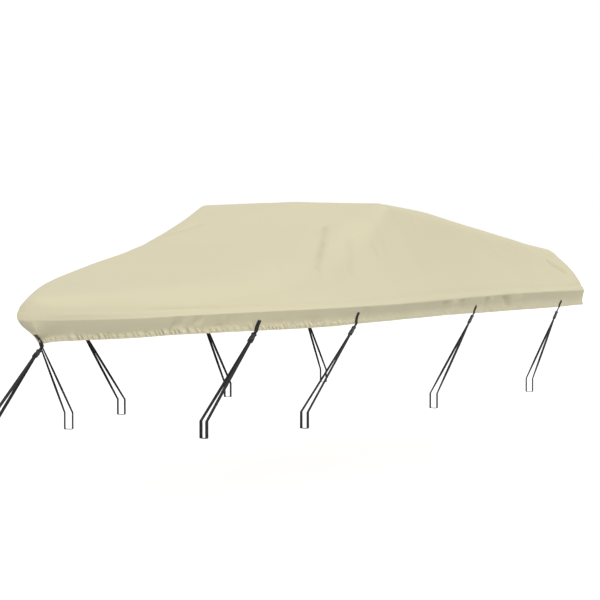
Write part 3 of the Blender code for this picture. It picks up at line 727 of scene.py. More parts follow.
def back_deck(last_section):
    """The points of the back end, with its soft draws, and each row's share of the way down."""
    back = np.array(back_rows(last_section))
    shares = np.arange(1, BACK_ROWS + 1) / BACK_ROWS
    widths = back[..., 1]
    draw = sum(height * np.exp(-(((widths - side) / reach) ** 2)) for side, reach, height in BACK_DRAWS)
    relief = (draw + uneven(back[..., 1:], BACK_SEED)) * np.sin(math.pi * shares)[:, None]
    return back + grid_normals(back) * relief[..., None], shares


def make_deck(lists):
    """The cloth above the crease. Gives the edges of the crease all round, with what lies beside each."""
    afts = stations()
    deck, up, painted_shading = side_deck(afts)
    back, shares = back_deck(deck[-1])
    tip = lists.add_row([(NOSE_TIP, 0.0, section_value("rim", NOSE_TIP))], [(NOSE_TIP, 0.0, 0.0)])[0]
    rows = []
    # the flat coordinates carry each place's painted wrinkle shade as their third value
    for aft, points, ways, painted_shades in zip(afts, deck, up, painted_shading):
        rows.append(lists.add_row(points, [(aft, way, depth) for way, depth in zip(ways, painted_shades)]))
    port_corner, starboard_corner = rows[-1][0], rows[-1][-1]
    tallest = section_value("rise", LAST_AFT)
    for share, points in zip(shares, back):
        flat = [(BACK_AFT + share * tallest, point[1], 0.0) for point in points[1:-1]]
        rows.append([port_corner, *lists.add_row(points[1:-1], flat), starboard_corner])

    lists.faces.extend([tip, left, right] for left, right in zip(rows[0][1:-2], rows[0][2:-1]))
    for index, (row, next_row) in enumerate(zip(rows[:-1], rows[1:-1])):
        if index < len(afts) - 1:
            lists.strip(row[1:-1], next_row[1:-1])
        else:
            lists.strip(row, next_row)
    return crease_chain(rows, tip, len(afts))


def crease_chain(rows, tip, deck_count):
    """Each edge of the crease from the tip round to it, as its start and what lies beside both its ends."""
    first, last, before_last = rows[0], rows[-1], rows[-2]
    chain = [(tip, first[1], first[1])]
    for row, next_row in zip(rows[:deck_count - 1], rows[1:deck_count]):
        chain.append((row[0], row[1], next_row[1]))
    chain.append((last[0], before_last[1], before_last[1]))
    for column in range(1, COLUMNS - 2):
        chain.append((last[column], before_last[column], before_last[column + 1]))
    chain.append((last[COLUMNS - 2], before_last[COLUMNS - 2], before_last[COLUMNS - 2]))
    for row, next_row in zip(rows[deck_count - 1:0:-1], rows[deck_count - 2::-1]):
        chain.append((row[-1], row[-2], next_row[-2]))
    chain.append((first[-1], first[-2], first[-2]))
    return chain


def crease_ring(lists, chain):
    """The crease in fine steps: its vertices, with the deck's edge joined to them."""
    ring = []
    for (start, beside, beside_end), (end, _, _) in zip(chain, chain[1:] + chain[:1]):
        a = np.array(lists.points[start])
        b = np.array(lists.points[end])
        step_size = SKIRT_STEP if a[0] < GATHERS_END else SKIRT_WIDE_STEP
        count = max(1, round(float(np.linalg.norm(b - a)) / step_size))
        shares = [step / count for step in range(1, count)]
        flat_a = np.array(lists.flat[start])
        flat_b = np.array(lists.flat[end])
        flat = [flat_a + (flat_b - flat_a) * t for t in shares]
        between = lists.add_row([a + (b - a) * t for t in shares], flat)
        lists.fan([start, *between, end], beside, beside_end)
        ring.extend([start, *between])
    return ring


def ring_outward(points):
    """Level directions straight out from a closed ring that runs from the tip aft along the port side."""
    ahead = np.roll(points, -2, axis=0) - np.roll(points, 2, axis=0)
    outward = np.stack([ahead[:, 1], -ahead[:, 0], np.zeros(len(points))], axis=1)
    return outward / np.linalg.norm(outward, axis=1, keepdims=True)


def add_ring_below(lists, above, points, *flat):
    """Add a closed row of points under another one, with the faces between them."""
    below = lists.add_row(points, zip(*flat))
    lists.strip([*above, above[0]], [*below, below[0]])
    return below


def make_skirt(lists, ring):
    """The cloth below the crease. Gives the line of the hem's seam and the directions out from it."""
    crease = np.array([lists.points[index] for index in ring])
    outward = ring_outward(crease)
    steps = np.linalg.norm(np.roll(crease, -1, axis=0) - crease, axis=1)
    travelled = np.concatenate([[0.0], np.cumsum(steps)[:-1]])
    aft = crease[:, 0]
    to_port = crease[:, 1] <= 0.0
    sides = np.where(aft > LAST_AFT + ON_BACK, 0, np.where(to_port, -1, 1))
    names = np.where(to_port, "port_drop", "starboard_drop")
    drops = np.array([SKIRT_CURVES[name](place) for name, place in zip(names, aft)])
    insets = np.array([SKIRT_CURVES["inset"](place) for place in aft])
    shares = np.array(SKIRT_ROWS)
    # painted shade and painted highlight for the cloth's colour, between and on the gathers and on the front
    # fold
    relief, painted_shading = gathers(travelled, aft, shares)
    relief = relief + skirt_folds(aft, sides, shares) + stem_fold(travelled, shares)
    painted_shading = painted_shading + nose_shade(travelled, sides, shares)
    wave = scallop(travelled, aft)
    down = np.array([0.0, 0.0, -1.0])
    above = ring
    for row, share in enumerate(shares):
        out = wave * share + lip(share) + relief[row] - insets * inset_share(share, aft, crease[:, 1])
        points = crease + outward * out[:, None] + down * (drops * share)[:, None]
        above = add_ring_below(lists, above, points, travelled, -drops * share, painted_shading[row])
        if row == HEM_SEAM_ROW:
            seam = points
    hem = points
    for inward, lower in HEM_ROWS:
        points = hem - outward * inward + down * lower
        above = add_ring_below(lists, above, points, travelled, -drops - inward, np.zeros(len(ring)))
    return seam, outward


def make_cloth(material):
    """The whole cover as one sheet with a turned-under hem. Gives it and the line of its hem's seam."""
    lists = MeshLists()
    chain = make_deck(lists)
    ring = crease_ring(lists, chain)
    seam, outward = make_skirt(lists, ring)
    cloth = lists.to_object("cover_fabric", material, "weave_place_and_painted_shade")
    return cloth, seam, outward


# Stitches

STITCH_RADIUS = 0.00055
HEM_STITCH = (0.0042, 0.0062)       # length and pitch
TIE_STITCH = (0.0030, 0.0040)
HEM_STITCH_LIFT = 0.0004
TIE_STITCH_LIFT = 0.0002
BOX_SEAM_INSET = 0.0035     # the stitches on a webbing run this far in from its edges


def interpolated(place, places, rows):
    return np.array([np.interp(place, places, rows[:, column]) for column in range(3)])


def make_stitches(name, seams, material, length, pitch):
    """Rows of separate stitches. Each seam is a list of points, each with the outward direction there."""
    points = []
    faces = []
    for seam in seams:
        line = np.array([point for point, _ in seam])
        outs = np.array([out for _, out in seam])
        run = np.concatenate([[0.0], np.cumsum(np.linalg.norm(np.diff(line, axis=0), axis=1))])
        for start in np.arange(0.0, run[-1] - length, pitch):
            a = interpolated(start, run, line)
            b = interpolated(start + length, run, line)
            out = interpolated(start, run, outs)
            out *= STITCH_RADIUS / max(np.linalg.norm(out), TINY)
            across = np.cross((b - a) / max(np.linalg.norm(b - a), TINY), out)
            middle = (a + b) / 2
            base = len(points)
            points.extend([a - out, b - out, middle + out, middle + across, middle - out, middle - across])
            for side in range(4):
                after = (side + 1) % 4
                faces.append([base, base + 2 + side, base + 2 + after])
                faces.append([base + 1, base + 2 + after, base + 2 + side])
    return add_object(name, make_mesh(name, points, faces, material))


def hem_seam(line, outward):
    """The line of the hem's seam on the outer face of the cloth."""
    raised = line + outward * HEM_STITCH_LIFT
    return [(raised[index], outward[index]) for index in [*range(len(line)), 0]]


def box_seam(line, acrosses, start, end):
    """A sewn box with a cross in it, between two places on a webbing's outer face."""
    across = acrosses[start]
    out = across.cross(line[start] - line[end]).normalized()
    half = across * (WEB_WIDTH / 2 - BOX_SEAM_INSET)
    lift = out * (WEB_THICKNESS / 2 + TIE_STITCH_LIFT)
    a = line[start] + lift + half
    b = line[start] + lift - half
    c = line[end] + lift - half
    d = line[end] + lift + half
    return [[(p, out), (q, out)] for p, q in ((a, b), (b, c), (c, d), (d, a), (a, c), (b, d))]


# The tie-downs

WEB_STEP = 0.006
WEB_TOP_STEPS = 12
BOX_SEAM_STEPS = (1, 7)     # the sewn end's box of stitches runs between these of them
# Some of the hanging runs are twisted a little on their way down, with their width towards one direction
WEB_TWIST_TO = Vector((0.51, -0.86, 0.0))
WEB_TWISTS = {"port": {1: 0.0, 2: 0.0, 3: 0.45, 4: 0.45}, "starboard": {1: 0.3, 2: 0.3, 3: 0.3, 4: 0.3}}
# Half of the webbing's outline, as shares of half its width and half its thickness
WEB_OUTLINE = (
    (-1.0, 0.0), (-0.98, 0.6), (-0.92, 1.0), (-0.5, 1.0), (0.0, 1.0), (0.5, 1.0), (0.92, 1.0), (0.98, 0.6),
)
FRONT_LOOP_STEPS = 16
RUN_POINTS = (0.33, 0.66)   # extra points on each hanging run, for its twist
LIP_REST = 0.6              # the webbing leaves the hem over this share of its lip


def rounded_path(corners, radius, steps=6):
    """A path through corners, each rounded to a radius, as a list of points."""
    points = [corners[0]]
    for before, corner, after in zip(corners, corners[1:], corners[2:]):
        back = (before - corner).normalized()
        forth = (after - corner).normalized()
        half_turn = (math.pi - back.angle(forth)) / 2
        reach = radius * math.tan(half_turn)
        start = corner + back * reach
        end = corner + forth * reach
        for step in range(steps + 1):
            t = step / steps
            points.append(start * (1 - t) ** 2 + corner * 2 * t * (1 - t) + end * t**2)
    return points + [corners[-1]]


def skirt_line(afts, side, rows, lips):
    """Outer face of the skirt at a tie-down: its points and the level direction along it at each."""
    ends = []
    for margin in (-STATION_MARGIN, STATION_MARGIN):
        end = []
        for aft, row, out in zip(afts, rows, lips):
            place = aft + margin
            crease = Vector((place, side * half_width(place), section_value("rim", place)))
            outward = side_outward(place, side)
            end.append(skirt_point(crease, outward, *row) + outward * out)
        ends.append(end)
    line = [(fore + back) / 2 for fore, back in zip(*ends)]
    acrosses = [(fore - back).normalized() * side for fore, back in zip(*ends)]
    return line, acrosses


def lie_on(line, acrosses, lift=WEB_LIFT):
    """The middle of a webbing that lies this far off this line."""
    raised = []
    for index, point in enumerate(line):
        down = (line[min(index + 1, len(line) - 1)] - line[max(index - 1, 0)]).normalized()
        raised.append(point + acrosses[index].cross(-down).normalized() * lift)
    return raised


def buckle_pose(upper_end, down, across):
    face = across.cross(-down).normalized()
    columns = (across, face, -down)
    turn = Matrix([[column[row] for column in columns] for row in range(3)]).to_4x4()
    return Matrix.Translation(placed(upper_end)) @ turn


def fine_path(path, widths):
    """The same path in steps of at most WEB_STEP."""
    points = [path[0]]
    directions = [widths[0]]
    for index in range(1, len(path)):
        count = max(1, math.ceil((path[index] - path[index - 1]).length / WEB_STEP))
        for step in range(1, count + 1):
            t = step / count
            points.append(path[index - 1].lerp(path[index], t))
            directions.append(widths[index - 1].lerp(widths[index], t).normalized())
    return points, directions


def make_webbing(name, path, widths, material):
    """Flat woven webbing that follows a path, with its width along the given direction at each point."""
    path, widths = fine_path(path, widths)
    outline = [*WEB_OUTLINE, *[(-x, -y) for x, y in WEB_OUTLINE]]
    lists = MeshLists()
    rings = []
    travelled = 0.0
    for index, point in enumerate(path):
        if index:
            travelled += (point - path[index - 1]).length
        along = (path[min(index + 1, len(path) - 1)] - path[max(index - 1, 0)]).normalized()
        across = (widths[index] - along * widths[index].dot(along)).normalized()
        face = across.cross(-along)
        ring = [point + across * (x * WEB_WIDTH / 2) + face * (y * WEB_THICKNESS / 2) for x, y in outline]
        flat = [(travelled, x * WEB_WIDTH / 2, 0.0) for x, _ in outline]
        rings.append(lists.add_row(ring, flat))
    for ring, next_ring in zip(rings, rings[1:]):
        lists.strip([*ring, ring[0]], [*next_ring, next_ring[0]])
    lists.faces.append(rings[0])
    lists.faces.append(rings[-1])
    strap = lists.to_object(name, material, "web_place")
    return strap, path, travelled


def finish_tie(label, path, widths, pose, webbing, buckle_shapes):
    """The webbing and the buckle of a tie-down, in place of the imported ones."""
    strap, path, length = make_webbing(f"tie_{label}_webbing", path, widths, webbing)
    buckles = make_buckle(label, pose, buckle_shapes)
    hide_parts(f"strap_tab_{label}", f"strap_loop_{label}")
    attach(strap, "root")


def loop_ends(buckle_top, down, across):
    """The buckle's face direction, and where the two runs of the loop leave its foot."""
    face = across.cross(-down).normalized()
    foot = buckle_top + down * BUCKLE_LENGTH
    return face, foot + face * RUN_SPACING / 2, foot - face * RUN_SPACING / 2


def shares_from(top_share):
    return [top_share + (1.0 - top_share) * step / WEB_TOP_STEPS for step in range(WEB_TOP_STEPS + 1)]


def loop_corners(foot, out):
    """The middle of the webbing at the loop's four corners round a box-shaped clear space."""
    reach = out * (LOOP_BOX_WIDTH + WEB_THICKNESS) / 2
    rise = Vector((0.0, 0.0, LOOP_BOX_HEIGHT))
    under = Vector((0.0, 0.0, -WEB_THICKNESS / 2))
    return foot + reach + rise, foot + reach + under, foot - reach + under, foot - reach + rise


def make_side_tie(tie, side, webbing, buckle_shapes, seams):
    number, aft, port_foot, starboard_foot, below_hem = tie
    side_name = "starboard" if side > 0 else "port"
    foot_aft, foot_side = starboard_foot if side > 0 else port_foot
    line, acrosses = skirt_line([aft] * len(SKIRT_PROFILE), side, SKIRT_PROFILE, [0.0] * len(SKIRT_PROFILE))
    raised = lie_on(line, acrosses)
    hem = raised[-1] + (raised[-1] - raised[-2]).normalized() * HEM_CLEAR

    yaw = FOOT_YAW * (1.0 - float(fade_in(aft, *FOOT_YAW_FADE)))
    foot_across = Vector((-side * math.cos(yaw), -math.sin(yaw), 0.0))
    foot = Vector((foot_aft, side * foot_side, LOOP_FOOT_HEIGHT))
    corners = loop_corners(foot, foot_across.cross(Vector((0.0, 0.0, 1.0))))
    outer_top, inner_top = corners[0], corners[-1]
    down = ((outer_top + inner_top) / 2 - hem).normalized()
    across = (acrosses[-1] - down * acrosses[-1].dot(down)).normalized()
    buckle_top = hem + down * (below_hem + PIECE_GAP)
    face, start, end = loop_ends(buckle_top, down, across)

    top_share = WEB_TOP_SHARES[number]
    shares = shares_from(top_share)
    rows = [(share, float(inset_share(share, aft, side))) for share in shares]
    afts = [aft + WEB_LEANS[number] * (1.0 - share) / (1.0 - top_share) for share in shares]
    on_skirt, on_skirt_acrosses = skirt_line(afts, side, rows, [lip(share) for share in shares])
    on_cloth = lie_on(on_skirt, on_skirt_acrosses)
    seams.extend(box_seam(on_cloth, on_skirt_acrosses, *BOX_SEAM_STEPS))
    top = [*on_cloth, hem + face * LIP_FLARE * LIP_REST, buckle_top]
    top_widths = [*on_skirt_acrosses, (acrosses[-1] + across).normalized(), across]

    loop = rounded_path([start, *corners, end], LOOP_CORNER)
    loop = [start, *[start.lerp(outer_top, t) for t in RUN_POINTS], *loop[1:-1],
            *[end.lerp(inner_top, t) for t in reversed(RUN_POINTS)], end]
    twist = WEB_TWISTS[side_name][number]
    towards = WEB_TWIST_TO if WEB_TWIST_TO.dot(foot_across) > 0.0 else -WEB_TWIST_TO
    loop_widths = []
    for point in loop:
        share = float(fade_in(start.z - point.z, 0.0, start.z - outer_top.z))
        width = across.lerp(foot_across, share).normalized()
        loop_widths.append(width.lerp(towards, twist * math.sin(math.pi * share)).normalized())
    pose = buckle_pose(buckle_top, down, across)
    finish_tie(f"{side_name}_{number}", top + loop, top_widths + loop_widths, pose, webbing, buckle_shapes)


def make_front_tie(webbing, buckle_shapes):
    """The strap at the front end: sewn under the tip of the skirt, led forward and down to a small loop."""
    across = Vector((0.0, -1.0, 0.0))
    drop = SKIRT_CURVES["port_drop"](NOSE_TIP)
    inset = SKIRT_CURVES["inset"](NOSE_TIP)
    rim = section_value("rim", NOSE_TIP)
    line = [Vector((NOSE_TIP + inset * inward, 0.0, rim - drop * share)) for share, inward in SKIRT_PROFILE]
    raised = lie_on(line, [across] * len(line))
    off_hem = [raised[-1] + Vector((aft, 0.0, height)) for aft, height in FRONT_TURN]
    down = (Vector((FRONT_AIM[0], 0.0, FRONT_AIM[1])) - off_hem[-1]).normalized()
    buckle_top = off_hem[-1] + down * (FRONT_TAB_LENGTH + PIECE_GAP)
    face, start, end = loop_ends(buckle_top, down, across)
    foot = Vector((FRONT_FOOT[0], 0.0, FRONT_FOOT[1]))
    angles = [math.pi * step / FRONT_LOOP_STEPS for step in range(FRONT_LOOP_STEPS + 1)]
    spokes = [face * math.cos(angle) + down * math.sin(angle) for angle in angles]
    turn = [foot + spoke * FRONT_LOOP_RADIUS for spoke in spokes]

    fine = []
    for share in shares_from(FRONT_TOP_SHARE):
        outward = lip(share) + STEM_HEIGHT * float(hump(share, *STEM_SPAN))
        fine.append(Vector((NOSE_TIP + inset * tip_inset_share(share) - outward, 0.0, rim - drop * share)))
    on_cloth = lie_on(fine, [across] * len(fine))
    path = [*on_cloth, *off_hem, buckle_top, start, *turn, end]
    pose = buckle_pose(buckle_top, down, across)
    finish_tie("front", path, [across] * len(path), pose, webbing, buckle_shapes)


# The buckle, laid out along its own -Z from its upper end, with its width along X and its face to +Y

EDGE = 0.0005               # the usual rounding of an edge
PLATE = 0.0024              # thickness of the upper half's plates and rails
# The plate's edge on one side, as how far in it is from the full half width, and z
PLATE_EDGE = (
    (0.0038, 0.0), (0.0006, -0.0034), (0.0, -0.0060), (0.0, -0.0125),
    (0.0038, -0.0150), (0.0038, -0.0275), (0.0, -0.0300), (0.0, -SOCKET_LENGTH),
)
RAIL_SPANS = ((-SOCKET_LENGTH, -0.0300), (-0.0125, -0.0050))
RAIL_RECESS = 0.0004
RIB_PLACES = (-0.0048, -0.0068, -0.0088)
RIB_HALF_LENGTH = 0.0085
RIB_HALF_WIDTH = 0.0006
RIB_RELIEF = 0.0004
ARCH_RADII = (0.0100, 0.0075)
ARCH_Z = -0.0345
ARCH_STEPS = 10
ARCH_RELIEF = 0.0003
# One prong of the lower half, as x and how far above the foot of the socket it is
PRONG = (
    (0.0082, 0.0005), (0.0112, 0.0005), (0.0120, 0.0080), (0.0134, 0.0108),
    (0.0166, 0.0126), (0.0170, 0.0190), (0.0160, 0.0232), (0.0118, 0.0262),
    (0.0102, 0.0245), (0.0108, 0.0200), (0.0096, 0.0120),
)
PRONG_HALF_DEPTH = 0.0026
COLLAR_HEIGHT = 0.0042
GUIDE_HALF_WIDTH = 0.0020
GUIDE_SPAN = (-0.0005, 0.0210)
SIDE_RAIL_TOP = -0.0030
SIDE_RAIL_WIDTH = 0.0042
SIDE_RAIL_RECESS = 0.0002
SIDE_RAIL_CORNER = (0.0036, 0.0040)
BAR_END = 0.0030            # the bars end this far in from the sides
BAR_CLEAR = 0.0010          # and this far from the buckle's middle plane
FOOT_BAR_CLEAR = 0.0024
BACK_BAR_RECESS = 0.0008
FRONT_BAR = (-0.0128, -0.0092)      # heights from the foot of the socket
BACK_BAR = (0.0, 0.0032)            # heights from the foot of the buckle, like the next one
FOOT_BAR = (0.0012, 0.0040)


def add_prism(data, outline, low, high, edge=EDGE):
    """A solid plate with this outline in X and Z, from y = low to y = high, with rounded edges."""
    lower = [data.verts.new((x, low, z)) for x, z in outline]
    upper = [data.verts.new((x, high, z)) for x, z in outline]
    faces = [data.faces.new(lower), data.faces.new(upper)]
    for index in range(len(outline)):
        after = (index + 1) % len(outline)
        faces.append(data.faces.new([lower[index], lower[after], upper[after], upper[index]]))
    bmesh.ops.recalc_face_normals(data, faces=faces)
    edges = dict.fromkeys(rim for face in faces for rim in face.edges)
    bmesh.ops.bevel(
        data, geom=list(edges), offset=edge, segments=2, profile=0.5, affect="EDGES", clamp_overlap=True
    )


def add_box(data, x_span, z_span, y_span, edge=EDGE):
    left, right = x_span
    foot, top = z_span
    add_prism(data, [(left, foot), (right, foot), (right, top), (left, top)], *y_span, edge)


def from_height(height, span):
    return [height + z for z in span]


def upper_buckle_mesh(material):
    """The half that takes the prongs: two plates joined by rails, with a window on either side."""
    half = BUCKLE_WIDTH / 2
    deep = BUCKLE_THICKNESS / 2
    data = bmesh.new()
    edge = [(half - inward, z) for inward, z in PLATE_EDGE]
    plate = [*edge, *[(-x, z) for x, z in reversed(edge)]]
    add_prism(data, plate, deep - PLATE, deep)
    add_prism(data, plate, -deep, -deep + PLATE)
    for sign in (-1, 1):
        x_span = sorted((sign * half, sign * (half - PLATE)))
        for span in reversed(RAIL_SPANS):
            add_box(data, x_span, span, (-deep + RAIL_RECESS, deep - RAIL_RECESS), edge=0.0004)
    for z in RIB_PLACES:
        z_span = (z - RIB_HALF_WIDTH, z + RIB_HALF_WIDTH)
        y_span = (deep - RIB_RELIEF, deep + RIB_RELIEF)
        add_box(data, (-RIB_HALF_LENGTH, RIB_HALF_LENGTH), z_span, y_span, edge=0.0003)
    angles = [math.pi * step / ARCH_STEPS for step in range(ARCH_STEPS + 1)]
    arch = [(ARCH_RADII[0] * math.cos(angle), ARCH_Z + ARCH_RADII[1] * math.sin(angle)) for angle in angles]
    add_prism(data, arch, deep - ARCH_RELIEF, deep + ARCH_RELIEF, edge=0.0002)
    return finish_plastic("buckle_upper_shape", data, material)


def lower_buckle_mesh(material):
    """The half with the two sprung prongs, and bars that the webbing is threaded round."""
    half = BUCKLE_WIDTH / 2
    deep = BUCKLE_THICKNESS / 2
    top = -SOCKET_LENGTH - PIECE_GAP
    foot = top - PLUG_LENGTH
    inner = half - SIDE_RAIL_WIDTH
    rail_top = top + SIDE_RAIL_TOP
    corner_in, corner_up = SIDE_RAIL_CORNER
    rail = [
        (half, rail_top), (half, foot + corner_up), (half - corner_in, foot),
        (inner, foot), (inner, rail_top),
    ]
    data = bmesh.new()
    add_box(data, (-half, half), (top - COLLAR_HEIGHT, top), (-deep, deep))
    for sign in (-1, 1):
        turned = [(sign * x, z) for x, z in rail]
        add_prism(data, turned, -deep + SIDE_RAIL_RECESS, deep - SIDE_RAIL_RECESS)
        prong = [(sign * x, top + z) for x, z in PRONG]
        add_prism(data, prong, -PRONG_HALF_DEPTH, PRONG_HALF_DEPTH)
    guide = (-GUIDE_HALF_WIDTH, GUIDE_HALF_WIDTH)
    add_box(data, guide, from_height(top, GUIDE_SPAN), guide)
    bar = (-half + BAR_END, half - BAR_END)
    add_box(data, bar, from_height(top, FRONT_BAR), (BAR_CLEAR, deep))
    add_box(data, bar, from_height(foot, BACK_BAR), (-deep + BACK_BAR_RECESS, -BAR_CLEAR))
    add_box(data, bar, from_height(foot, FOOT_BAR), (FOOT_BAR_CLEAR, deep))
    return finish_plastic("buckle_lower_shape", data, material)


def finish_plastic(name, data, material):
    mesh = bpy.data.meshes.new(name)
    data.to_mesh(mesh)
    data.free()
    mesh.materials.append(material)
    return mesh


def make_buckle(label, pose, shapes):
    pieces = []
    for half, node, shape in zip(("upper", "lower"), ("socket", "plug"), shapes):
        piece = add_object(f"buckle_{half}_{label}", shape)
        piece.matrix_world = pose
        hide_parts(f"buckle_{node}_{label}")
        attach(piece, "root")
        pieces.append(piece)
    return pieces


# Materials

BANDS_AT_SCALE_1 = 0.314159     # distance between the bands of a wave texture at a scale of 1
RAMP_ENDS = (0.25, 0.75)


def new_material(name, colour, specular, roughness=0.5):
    material = bpy.data.materials.new(name)
    material.use_nodes = True
    tree = material.node_tree
    shader = tree.nodes["Principled BSDF"]
    shader.inputs["Base Color"].default_value = (*colour, 1.0)
    shader.inputs["Roughness"].default_value = roughness
    shader.inputs["Specular IOR Level"].default_value = specular
    return material, tree, shader


def add_node(tree, kind, values=(), **settings):
    node = tree.nodes.new(kind)
    for name, value in settings.items():
        setattr(node, name, value)
    for name, value in values:
        node.inputs[name].default_value = value
    return node


def solid_place(tree):
    return add_node(tree, "ShaderNodeTexCoord").outputs["Object"]


def flat_place(tree, attribute):
    return add_node(tree, "ShaderNodeAttribute", attribute_name=attribute).outputs["Vector"]


def noise(tree, place, scale, detail, roughness=0.5):
    values = [("Scale", scale), ("Detail", detail), ("Roughness", roughness)]
    node = add_node(tree, "ShaderNodeTexNoise", values)
    tree.links.new(place, node.inputs["Vector"])
    return node.outputs["Fac"]


def bands(tree, place, direction, pitch):
    """Bands with this distance from one to the next."""
    values = [("Scale", BANDS_AT_SCALE_1 / pitch)]
    node = add_node(tree, "ShaderNodeTexWave", values, bands_direction=direction)
    tree.links.new(place, node.inputs["Vector"])
    return node.outputs["Fac"]


def colour_between(tree, factor, low, high):
    node = add_node(tree, "ShaderNodeValToRGB")
    for end, position, colour in zip(node.color_ramp.elements, RAMP_ENDS, (low, high)):
        end.position = position
        end.color = (*colour, 1.0)
    tree.links.new(factor, node.inputs["Fac"])
    return node.outputs["Color"]


def bump(tree, height, strength, distance, before=None):
    node = add_node(tree, "ShaderNodeBump", [("Strength", strength), ("Distance", distance)])
    tree.links.new(height, node.inputs["Height"])
    if before is not None:
        tree.links.new(before, node.inputs["Normal"])
    return node.outputs["Normal"]


def combine(tree, operation, a, b):
    node = add_node(tree, "ShaderNodeMath", operation=operation)
    for index, value in enumerate((a, b)):
        if isinstance(value, float):
            node.inputs[index].default_value = value
        else:
            tree.links.new(value, node.inputs[index])
    return node.outputs["Value"]


def scaled(tree, value, share, added):
    """This share of a value, and something added to it."""
    return combine(tree, "ADD", combine(tree, "MULTIPLY", value, share), added)


def finish_shader(tree, shader, colour, normal, roughness=None):
    for name, source in (("Base Color", colour), ("Normal", normal), ("Roughness", roughness)):
        if source is not None:
            tree.links.new(source, shader.inputs[name])


def shade(colour, share):
    return tuple(channel * share for channel in colour)


CLOTH_COLOUR = (0.634, 0.585, 0.406)
PAINTED_SHADE_STRENGTH = 0.22         # painted shade: how much darker the cloth is painted deep in a wrinkle, and paler on the crowns of the gathers
WEAVE_PITCH = 0.0016
MOTTLE_SHARES = (0.7, 0.3)  # of the broad and the fine unevenness in its colour


def cloth_material():
    """Khaki coated polyester: a fine plain weave, barely uneven in colour, with painted shade in its hollows
    and painted highlights on the crowns of the gathers.
    """
    material, tree, shader = new_material("khaki coated polyester", CLOTH_COLOUR, specular=0.28)
    flat = flat_place(tree, "weave_place_and_painted_shade")
    solid = solid_place(tree)
    broad = noise(tree, solid, scale=1.7, detail=3.0)
    fine = noise(tree, solid, scale=46.0, detail=3.0)
    mottle = scaled(tree, broad, MOTTLE_SHARES[0], combine(tree, "MULTIPLY", fine, MOTTLE_SHARES[1]))
    clean = colour_between(tree, mottle, shade(CLOTH_COLOUR, 0.975), shade(CLOTH_COLOUR, 1.015))
    # the third flat coordinate is the painted shade, which darkens the colour, and the painted highlight,
    # which lightens it
    parts = add_node(tree, "ShaderNodeSeparateXYZ")
    tree.links.new(flat, parts.inputs["Vector"])
    colour = add_node(tree, "ShaderNodeVectorMath", operation="SCALE")
    tree.links.new(clean, colour.inputs[0])
    tree.links.new(scaled(tree, parts.outputs["Z"], -PAINTED_SHADE_STRENGTH, 1.0), colour.inputs["Scale"])
    warp = bands(tree, flat, "X", WEAVE_PITCH)
    weft = bands(tree, flat, "Y", WEAVE_PITCH)
    slack = bump(tree, noise(tree, solid, scale=7.0, detail=2.0), strength=0.25, distance=0.004)
    normal = bump(tree, combine(tree, "MAXIMUM", warp, weft), strength=0.12, distance=0.0003, before=slack)
    roughness = scaled(tree, broad, share=0.12, added=0.68)
    finish_shader(tree, shader, colour.outputs["Vector"], normal, roughness)
    return material


WEBBING_COLOUR = (0.0125, 0.0112, 0.0122)
RIB_PITCH = 0.0021
ROW_PITCH = 0.0052


def webbing_material():
    """Black polypropylene webbing: ribs across it and rows along it."""
    material, tree, shader = new_material("black woven webbing", WEBBING_COLOUR, specular=0.30)
    flat = flat_place(tree, "web_place")
    ribs = bands(tree, flat, "X", RIB_PITCH)
    rows = bands(tree, flat, "Y", ROW_PITCH)
    weave = combine(tree, "MULTIPLY", combine(tree, "ADD", ribs, rows), 0.5)
    colour = colour_between(tree, weave, shade(WEBBING_COLOUR, 0.65), shade(WEBBING_COLOUR, 1.45))
    fuzz = noise(tree, solid_place(tree), scale=300.0, detail=2.0)
    fuzzy = bump(tree, fuzz, strength=0.15, distance=0.0004)
    normal = bump(tree, weave, strength=0.7, distance=0.0006, before=fuzzy)
    finish_shader(tree, shader, colour, normal, scaled(tree, fuzz, share=0.2, added=0.55))
    return material


PLASTIC_COLOUR = (0.0150, 0.0140, 0.0150)


def plastic_material():
    """Black moulded plastic with a fine grain, and paler where fingers have rubbed it."""
    material, tree, shader = new_material("black moulded plastic", PLASTIC_COLOUR, specular=0.45)
    solid = solid_place(tree)
    grain = noise(tree, solid, scale=1400.0, detail=2.0)
    scuffs = noise(tree, solid, scale=90.0, detail=4.0, roughness=0.65)
    colour = colour_between(tree, scuffs, shade(PLASTIC_COLOUR, 0.85), shade(PLASTIC_COLOUR, 1.30))
    normal = bump(tree, grain, strength=0.25, distance=0.0002)
    finish_shader(tree, shader, colour, normal, scaled(tree, scuffs, share=0.25, added=0.30))
    return material


HEM_THREAD_COLOUR = (0.50, 0.47, 0.33)
TIE_THREAD_COLOUR = (0.03, 0.028, 0.03)


def thread_material(name, colour):
    """Twisted sewing thread."""
    material, tree, shader = new_material(name, colour, roughness=0.60, specular=0.30)
    twist = noise(tree, solid_place(tree), scale=900.0, detail=2.0)
    twisted = colour_between(tree, twist, shade(colour, 0.82), shade(colour, 1.1))
    finish_shader(tree, shader, twisted, bump(tree, twist, strength=0.4, distance=0.0003))
    return material


# Floor and light

FLOOR_HALF = 300.0
FLOOR_GREY = 0.34
FLOOR_GLOW = 0.80
SKY = 1.003
SKY_BELOW = 0.28
SKY_FADE = (-0.30, -0.02)   # the sky darkens downwards between these heights of a direction
KEY_FROM = (-0.68, -0.68, 0.25)
KEY_STRENGTH = 0.75
FILL_FROM = (-0.50, 0.24, -0.83)
FILL_STRENGTH = 0.92
LAMP_SOFTNESS = math.radians(24.0)


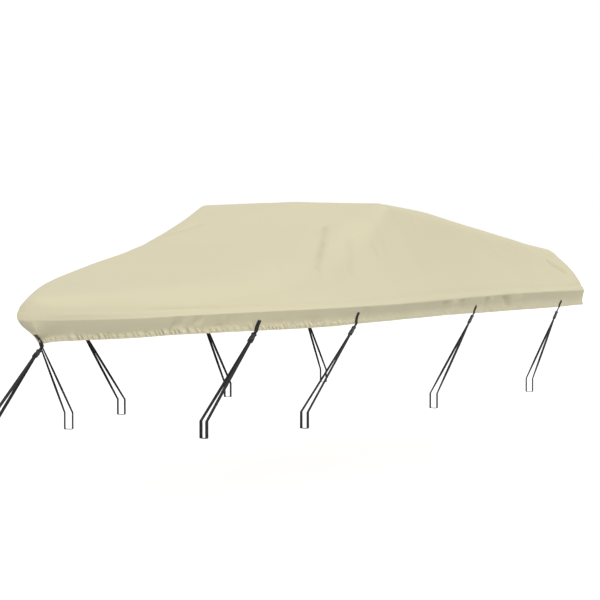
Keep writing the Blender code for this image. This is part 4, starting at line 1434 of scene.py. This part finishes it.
def make_floor():
    """A plain pale floor, lit from within a little, so that it runs into the pale background."""
    mesh = bpy.data.meshes.new("floor")
    sides = (-FLOOR_HALF, FLOOR_HALF)
    corners = [placed((x, y, 0.0)) for y in sides for x in sides]
    mesh.from_pydata([tuple(corner) for corner in corners], [], [(0, 1, 3, 2)])
    floor = add_object("floor", mesh)
    material, _, shader = new_material("pale floor", [FLOOR_GREY] * 3, roughness=0.9, specular=0.0)
    shader.inputs["Emission Color"].default_value = (1.0, 1.0, 1.0, 1.0)
    shader.inputs["Emission Strength"].default_value = FLOOR_GLOW
    mesh.materials.append(material)
    floor.visible_diffuse = False
    floor.visible_shadow = False


def make_lamp(name, come_from, strength):
    lamp = bpy.data.lights.new(name, "SUN")
    lamp.energy = strength
    lamp.angle = LAMP_SOFTNESS
    holder = add_object(name, lamp)
    holder.rotation_mode = "QUATERNION"
    holder.rotation_quaternion = Vector(come_from).to_track_quat("Z", "Y")


def make_light():
    """An even pale room, darker below, with a soft lamp ahead on the port side and a fill from below."""
    world = bpy.data.worlds.new("pale room")
    world.use_nodes = True
    tree = world.node_tree
    background = tree.nodes["Background"]
    direction = add_node(tree, "ShaderNodeTexCoord").outputs["Generated"]
    split = add_node(tree, "ShaderNodeSeparateXYZ")
    tree.links.new(direction, split.inputs["Vector"])
    values = zip(("From Min", "From Max", "To Min", "To Max"), (*SKY_FADE, SKY_BELOW, SKY))
    ramp = add_node(tree, "ShaderNodeMapRange", values)
    tree.links.new(split.outputs["Z"], ramp.inputs["Value"])
    tree.links.new(ramp.outputs["Result"], background.inputs["Color"])
    bpy.context.scene.world = world
    make_lamp("key", KEY_FROM, KEY_STRENGTH)
    make_lamp("low_fill", FILL_FROM, FILL_STRENGTH)


def main():
    make_camera()
    webbing = webbing_material()
    plastic = plastic_material()
    shapes = (upper_buckle_mesh(plastic), lower_buckle_mesh(plastic))
    sewn = []
    for side in (-1, 1):
        for tie in SIDE_TIES:
            make_side_tie(tie, side, webbing, shapes, sewn)
    make_front_tie(webbing, shapes)
    cloth, seam, outward = make_cloth(cloth_material())
    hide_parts("cover_cloth")
    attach(cloth, "root")
    khaki_thread = thread_material("khaki thread", HEM_THREAD_COLOUR)
    hem_stitches = make_stitches("hem_stitches", [hem_seam(seam, outward)], khaki_thread, *HEM_STITCH)
    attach(hem_stitches, "root")
    black_thread = thread_material("black thread", TIE_THREAD_COLOUR)
    tie_stitches = make_stitches("tie_stitches", sewn, black_thread, *TIE_STITCH)
    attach(tie_stitches, "root")
    make_floor()
    make_light()
    bpy.context.scene.view_settings.view_transform = "Standard"


main()
